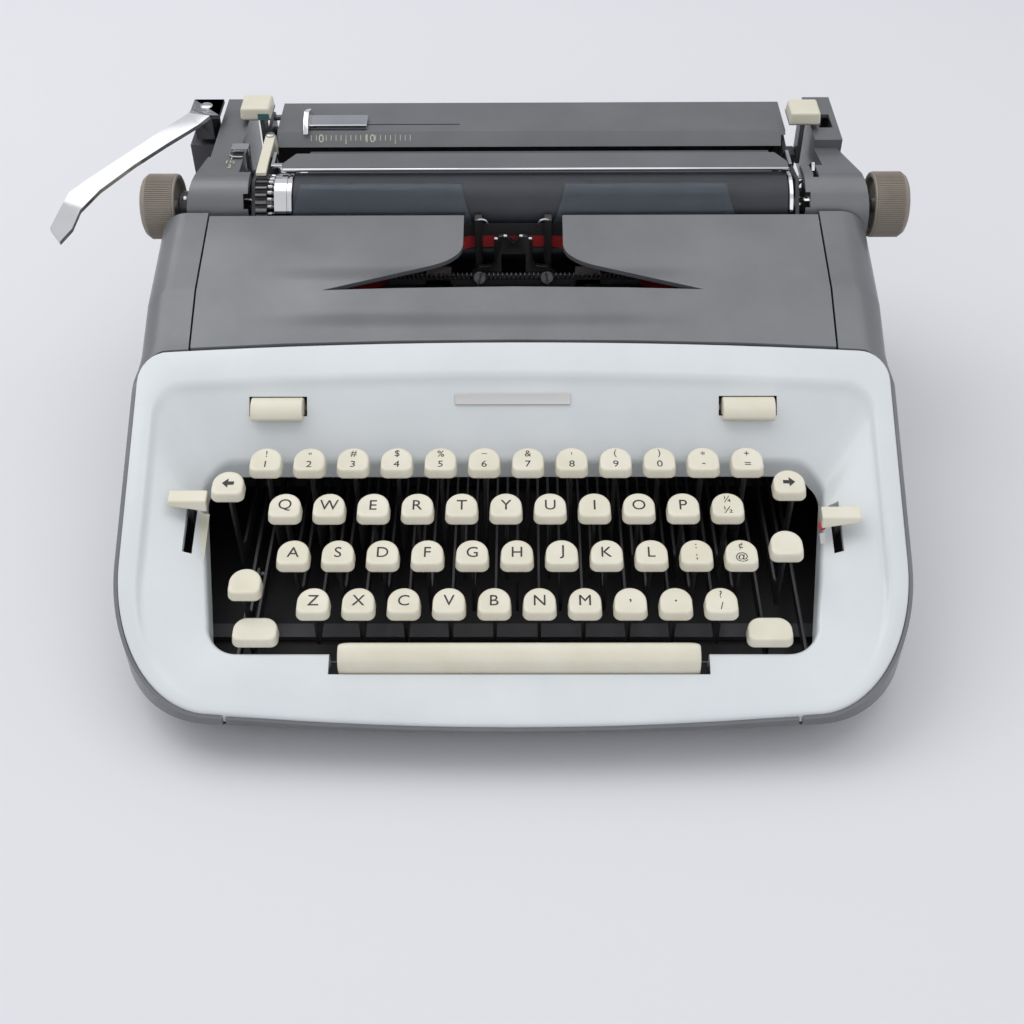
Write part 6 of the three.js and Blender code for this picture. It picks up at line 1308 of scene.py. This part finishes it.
for screw, (x, turn) in zip(collar_screws, ((-161.5, 28), (-161.5, 100), (172, 35), (172, 110))):
    screw.transform(Matrix.Translation(-machine_origin))
    screw.transform(Matrix.Translation((0, 0, 7.3 * millimetre)))
    screw.transform(Matrix.Rotation(math.radians(turn), 4, "X"))
    screw.transform(Matrix.Translation(place(x, platen_y, platen_z)))
add_piece("shaft_collars", joined("collars", collars), "platen_body", black_paint)
add_piece("collar_screws", joined("screws", collar_screws), "platen_body", ground_steel)

# Platen knobs: moulded taupe plastic, each with fine grips round its rim, a plain band and a rounded outer
# edge, pinned to the shaft.
knob_plastic = surface("moulded_taupe_plastic", (0.31, 0.275, 0.23), (0.25, 0.217, 0.178), 60,
                       (0.45, 0.6), 0.05)
grip_count = 96
knob_profile = [(4.2, 2.5), (12.6, 2.5), (13.4, 0.3), (14.9, 0), (15.6, 0.4), (15.7, 1.0), (15.4, 1.3),
                (15.4, 14.4), (15.2, 15.4), (14.2, 16.7), (12.8, 17.4), (11.2, 17.6), (4.0, 17.6)]
grip_outline = [(-0.36, 15.2), (0.36, 15.2), (0.25, 15.72), (0.1, 15.86), (-0.1, 15.86), (-0.25, 15.72)]
grip_unit = prism("X", 1.3, 14.6, grip_outline)
for side, x, hand in (("left", -164.8, -1), ("right", 175.2, 1)):
    knob = turned("knob", [(r, h * hand) for r, h in knob_profile][::hand], "X", x, platen_y, platen_z, 96)
    grip_x = x if hand > 0 else x - 15.9
    grip_spots = [(grip_x, platen_y, platen_z, (2 * math.pi * i / grip_count, 0, 0))
                  for i in range(grip_count)]
    grips = copied("grips", grip_unit, grip_spots, knob_plastic)
    add_piece(side + "_knob_moulding", joined("knob", [knob, grips]), "platen_body",
              knob_plastic, [side + "_knob"])

# Line-space ratchet: a toothed wheel on the platen's left end, stamped and hardened, with a row of
# drive pins.
tooth_count, wheel_x, wheel_width, wheel_radius = 24, -125.4, 5.6, 15.5
wheel_outline = []
for i in range(tooth_count):
    for share, drop in ((0, 1.4), (0.42, 0), (0.68, 0), (0.76, 1.4)):
        turn = 2 * math.pi * (i + share) / tooth_count
        wheel_outline.append((platen_y + (wheel_radius - drop) * math.cos(turn),
                              platen_z + (wheel_radius - drop) * math.sin(turn)))
wheel = prism_x(wheel_x, wheel_x + wheel_width, wheel_outline)
add_piece("ratchet_wheel", eased(wheel, 0.15, 1, 20), "platen_body", segment_steel,
          ["line_space_ratchet"])
pin_unit = turned("pin", [(0.8, 0), (1.1, 0.3), (1.1, 2.2), (0.8, 2.5)], "X", 0, 0, 0, 12)
pin_unit.transform(Matrix.Translation(-machine_origin + Vector((0, 0, 13.2 * millimetre))))
pin_spots = [(-119.8, platen_y, platen_z, (2 * math.pi * i / tooth_count, 0, 0)) for i in range(tooth_count)]
ratchet_pins = copied("ratchet_pins", pin_unit, pin_spots, ground_steel)
add_piece("ratchet_pins", ratchet_pins, "platen_body", ground_steel)

# Feed roller: a rubber roller on a thin steel rod, pressed up against the platen through the paper pan.
feed_z = platen_z - math.sqrt(22.3 ** 2 - 6 ** 2)
feed_rubber = turned("feed", [(2.6, 0), (5.6, 0), (6, 0.4), (6, 217.2), (5.6, 217.6), (2.6, 217.6)], "X",
                     -95.7, 143, feed_z, 40)
add_piece("feed_roller_rubber", feed_rubber, "feed_roller_body", platen_rubber,
          ["feed_roller"])
feed_rod = turned("feed_rod", [(2.2, 0), (2.5, 0.3), (2.5, 267), (2.2, 267.3)], "X", -128, 143, feed_z, 24)
add_piece("feed_roller_rod", feed_rod, "feed_roller_body", ground_steel)

# Paper table: the enamelled steel flap behind the platen that carries the paper up. Its folded front
# edge has a painted scale, and a slot for the chromed paper guide.
table = combined(solid_copy("paper_table"), [block(-104, -28, 203.6, 204.5, 120, 140)], "DIFFERENCE")
add_piece("paper_table_flap", eased(table, 0.5, 2), "paper_table_body", casing_paint,
          ["paper_table"])
scale_turn = math.atan2(6, 5.5)
scale_zero_x, scale_pitch = -98.9, 2.54
scale_y, scale_z = 194.6 - 0.035 * math.sin(scale_turn), 128.88 + 0.035 * math.cos(scale_turn)
tick_unit = prism("Z", 0, 0.04, [(-0.16, -1.2), (0.16, -1.2), (0.16, 1.6), (-0.16, 1.6)])
ticks = [(scale_zero_x + scale_pitch * i, scale_y, scale_z, (scale_turn, 0, 0)) for i in range(-2, 19)
         if i % 10]
long_unit = prism("Z", 0, 0.04, [(-0.22, -2.9), (0.22, -2.9), (0.22, 1.8), (-0.22, 1.8)])
long_ticks = [(scale_zero_x + scale_pitch * i, scale_y, scale_z, (scale_turn, 0, 0)) for i in (5, 15)]
scale_marks = [copied("ticks", tick_unit, ticks, cream_paint),
               copied("long_ticks", long_unit, long_ticks, cream_paint)]
for text, place_on_scale in (("0", 0), ("10", 10)):
    figure = letter_mesh(text, 4.2)
    figure.transform(Matrix.Rotation(scale_turn, 4, "X"))
    figure_x = scale_zero_x + scale_pitch * place_on_scale
    figure.transform(Matrix.Translation(place(figure_x, scale_y, scale_z)))
    scale_marks.append(figure)
add_piece("paper_scale", joined("paper_scale", scale_marks), "paper_table_body", cream_paint)
dress("paper_guide", "paper_guide_body", chrome, 0.45, 3)

# Paper bail: an enamelled strip with a chromed front edge, on two chromed arms that swing up off the
# platen.
strip = combined(solid_copy("paper_bail"), [block(-113.1, 134.3, 150, 168, 132, 137)], "INTERSECT")
add_piece("bail_strip", eased(strip, 0.35, 2), "paper_bail_body", casing_paint,
          ["paper_bail"])
bail_arms = [combined(solid_copy("paper_bail"), [block(x0, x1, 140, 200, 100, 140)], "INTERSECT")
             for x0, x1 in ((-140, -113.2), (134.4, 150))]
edge_rod = turned("edge_rod", [(0.45, 0), (0.7, 0.3), (0.7, 246.8), (0.45, 247.1)], "X", -112.9, 152.9,
                  134.9, 20)
bail_bright = joined("bail_arms", [eased(mesh, 0.4, 2) for mesh in bail_arms] + [edge_rod])
add_piece("bail_arms_and_edge", bail_bright, "paper_bail_body", chrome)

# Return lever: a chromed steel band riveted under a black folded hub, which turns on a stud on the
# truck's post.
hub_x, hub_y, hub_z = -158.5, 208.5, 137.2
hub_region = block(hub_x - 8, hub_x + 8, hub_y - 8.6, hub_y + 9, 110, hub_z + 2.3)
band_region = block(hub_x - 7.9, hub_x + 7.9, hub_y - 8.6, hub_y + 9, 110, hub_z + 1.95)
lever_band = combined(solid_copy("return_lever"), [band_region], "DIFFERENCE")
hub_part = combined(solid_copy("return_lever"), [hub_region], "INTERSECT")
add_piece("return_lever_band", eased(lever_band, 0.3, 3, 30), "return_lever_body", chrome,
          ["return_lever"])
add_piece("return_lever_hub", eased(hub_part, 0.5, 2), "return_lever_body", black_paint)
hub_screw = turned("hub_screw", [(0.1, -0.2), (3.2, 0), (3.2, 0.9), (2.6, 1.4), (1.2, 1.7), (0.1, 1.75)],
                   "Z", hub_x, hub_y, hub_z + 2, 32)
hub_slot = block(hub_x - 4, hub_x + 4, hub_y - 0.4, hub_y + 0.4, hub_z + 3.0, hub_z + 5)
add_piece("return_lever_screw", eased(combined(hub_screw, [hub_slot], "DIFFERENCE"), 0.1, 1),
          "return_lever_body", chrome)

# Carriage levers: the cream platen release and its pivot screw, the chromed line-space selector in its
# lined slot, and the chromed paper release.
dress("platen_release_lever", "platen_release_lever_body", key_plastic, 0.6, 3)
release_screw = turned("release_screw", [(0.1, -0.3), (2.2, 0), (2.2, 0.6), (1.7, 1.0), (0.1, 1.05)], "Z",
                       -123.2, 186.6, 135.0, 28)
release_slot = block(-126, -120.4, 186.3, 186.9, 135.6, 137)
add_piece("release_lever_screw", combined(release_screw, [release_slot], "DIFFERENCE"),
          "platen_release_lever_body", ground_steel)
dress("line_space_selector", "line_space_selector_body", chrome, 0.4, 2)
dress("paper_release_lever", "paper_release_lever_body", chrome, 0.4, 2)

# Margin keys: cream caps on folded grey stems that reach down to the margin stops. The left one carries a
# blue-green pointer mark.
teal_paint = surface("blue_green_mark", (0.06, 0.19, 0.2), (0.045, 0.15, 0.16), 80, (0.4, 0.5), 0.01)
for side, x, y in (("left", -132.5, 209), ("right", 148, 202)):
    node = "margin_key_" + side
    cap = combined(solid_copy(node), [block(x - 20, x + 20, y - 20, y + 20, 135.8, 150)], "INTERSECT")
    for vertex in cap.vertices:
        if vertex.co.z > place(0, 0, 140).z:
            vertex.co.x += (place(x, 0, 0).x - vertex.co.x) * 0.08
            vertex.co.y += (place(0, y, 0).y - vertex.co.y) * 0.08
    add_piece(node + "_cap", eased(cap, 1.3, 4), node + "_body", key_plastic, [node])
    stem = combined(solid_copy(node), [block(x - 20, x + 20, y - 20, y + 20, 100, 135.85)], "INTERSECT")
    add_piece(node + "_stem", eased(stem, 0.3, 2), node + "_body", casing_paint)
pointer = block(-131.2, -125.4, 200.55, 200.8, 136.4, 139.4)
add_piece("margin_pointer", eased(pointer, 0.08, 1), "margin_key_left_body", teal_paint)
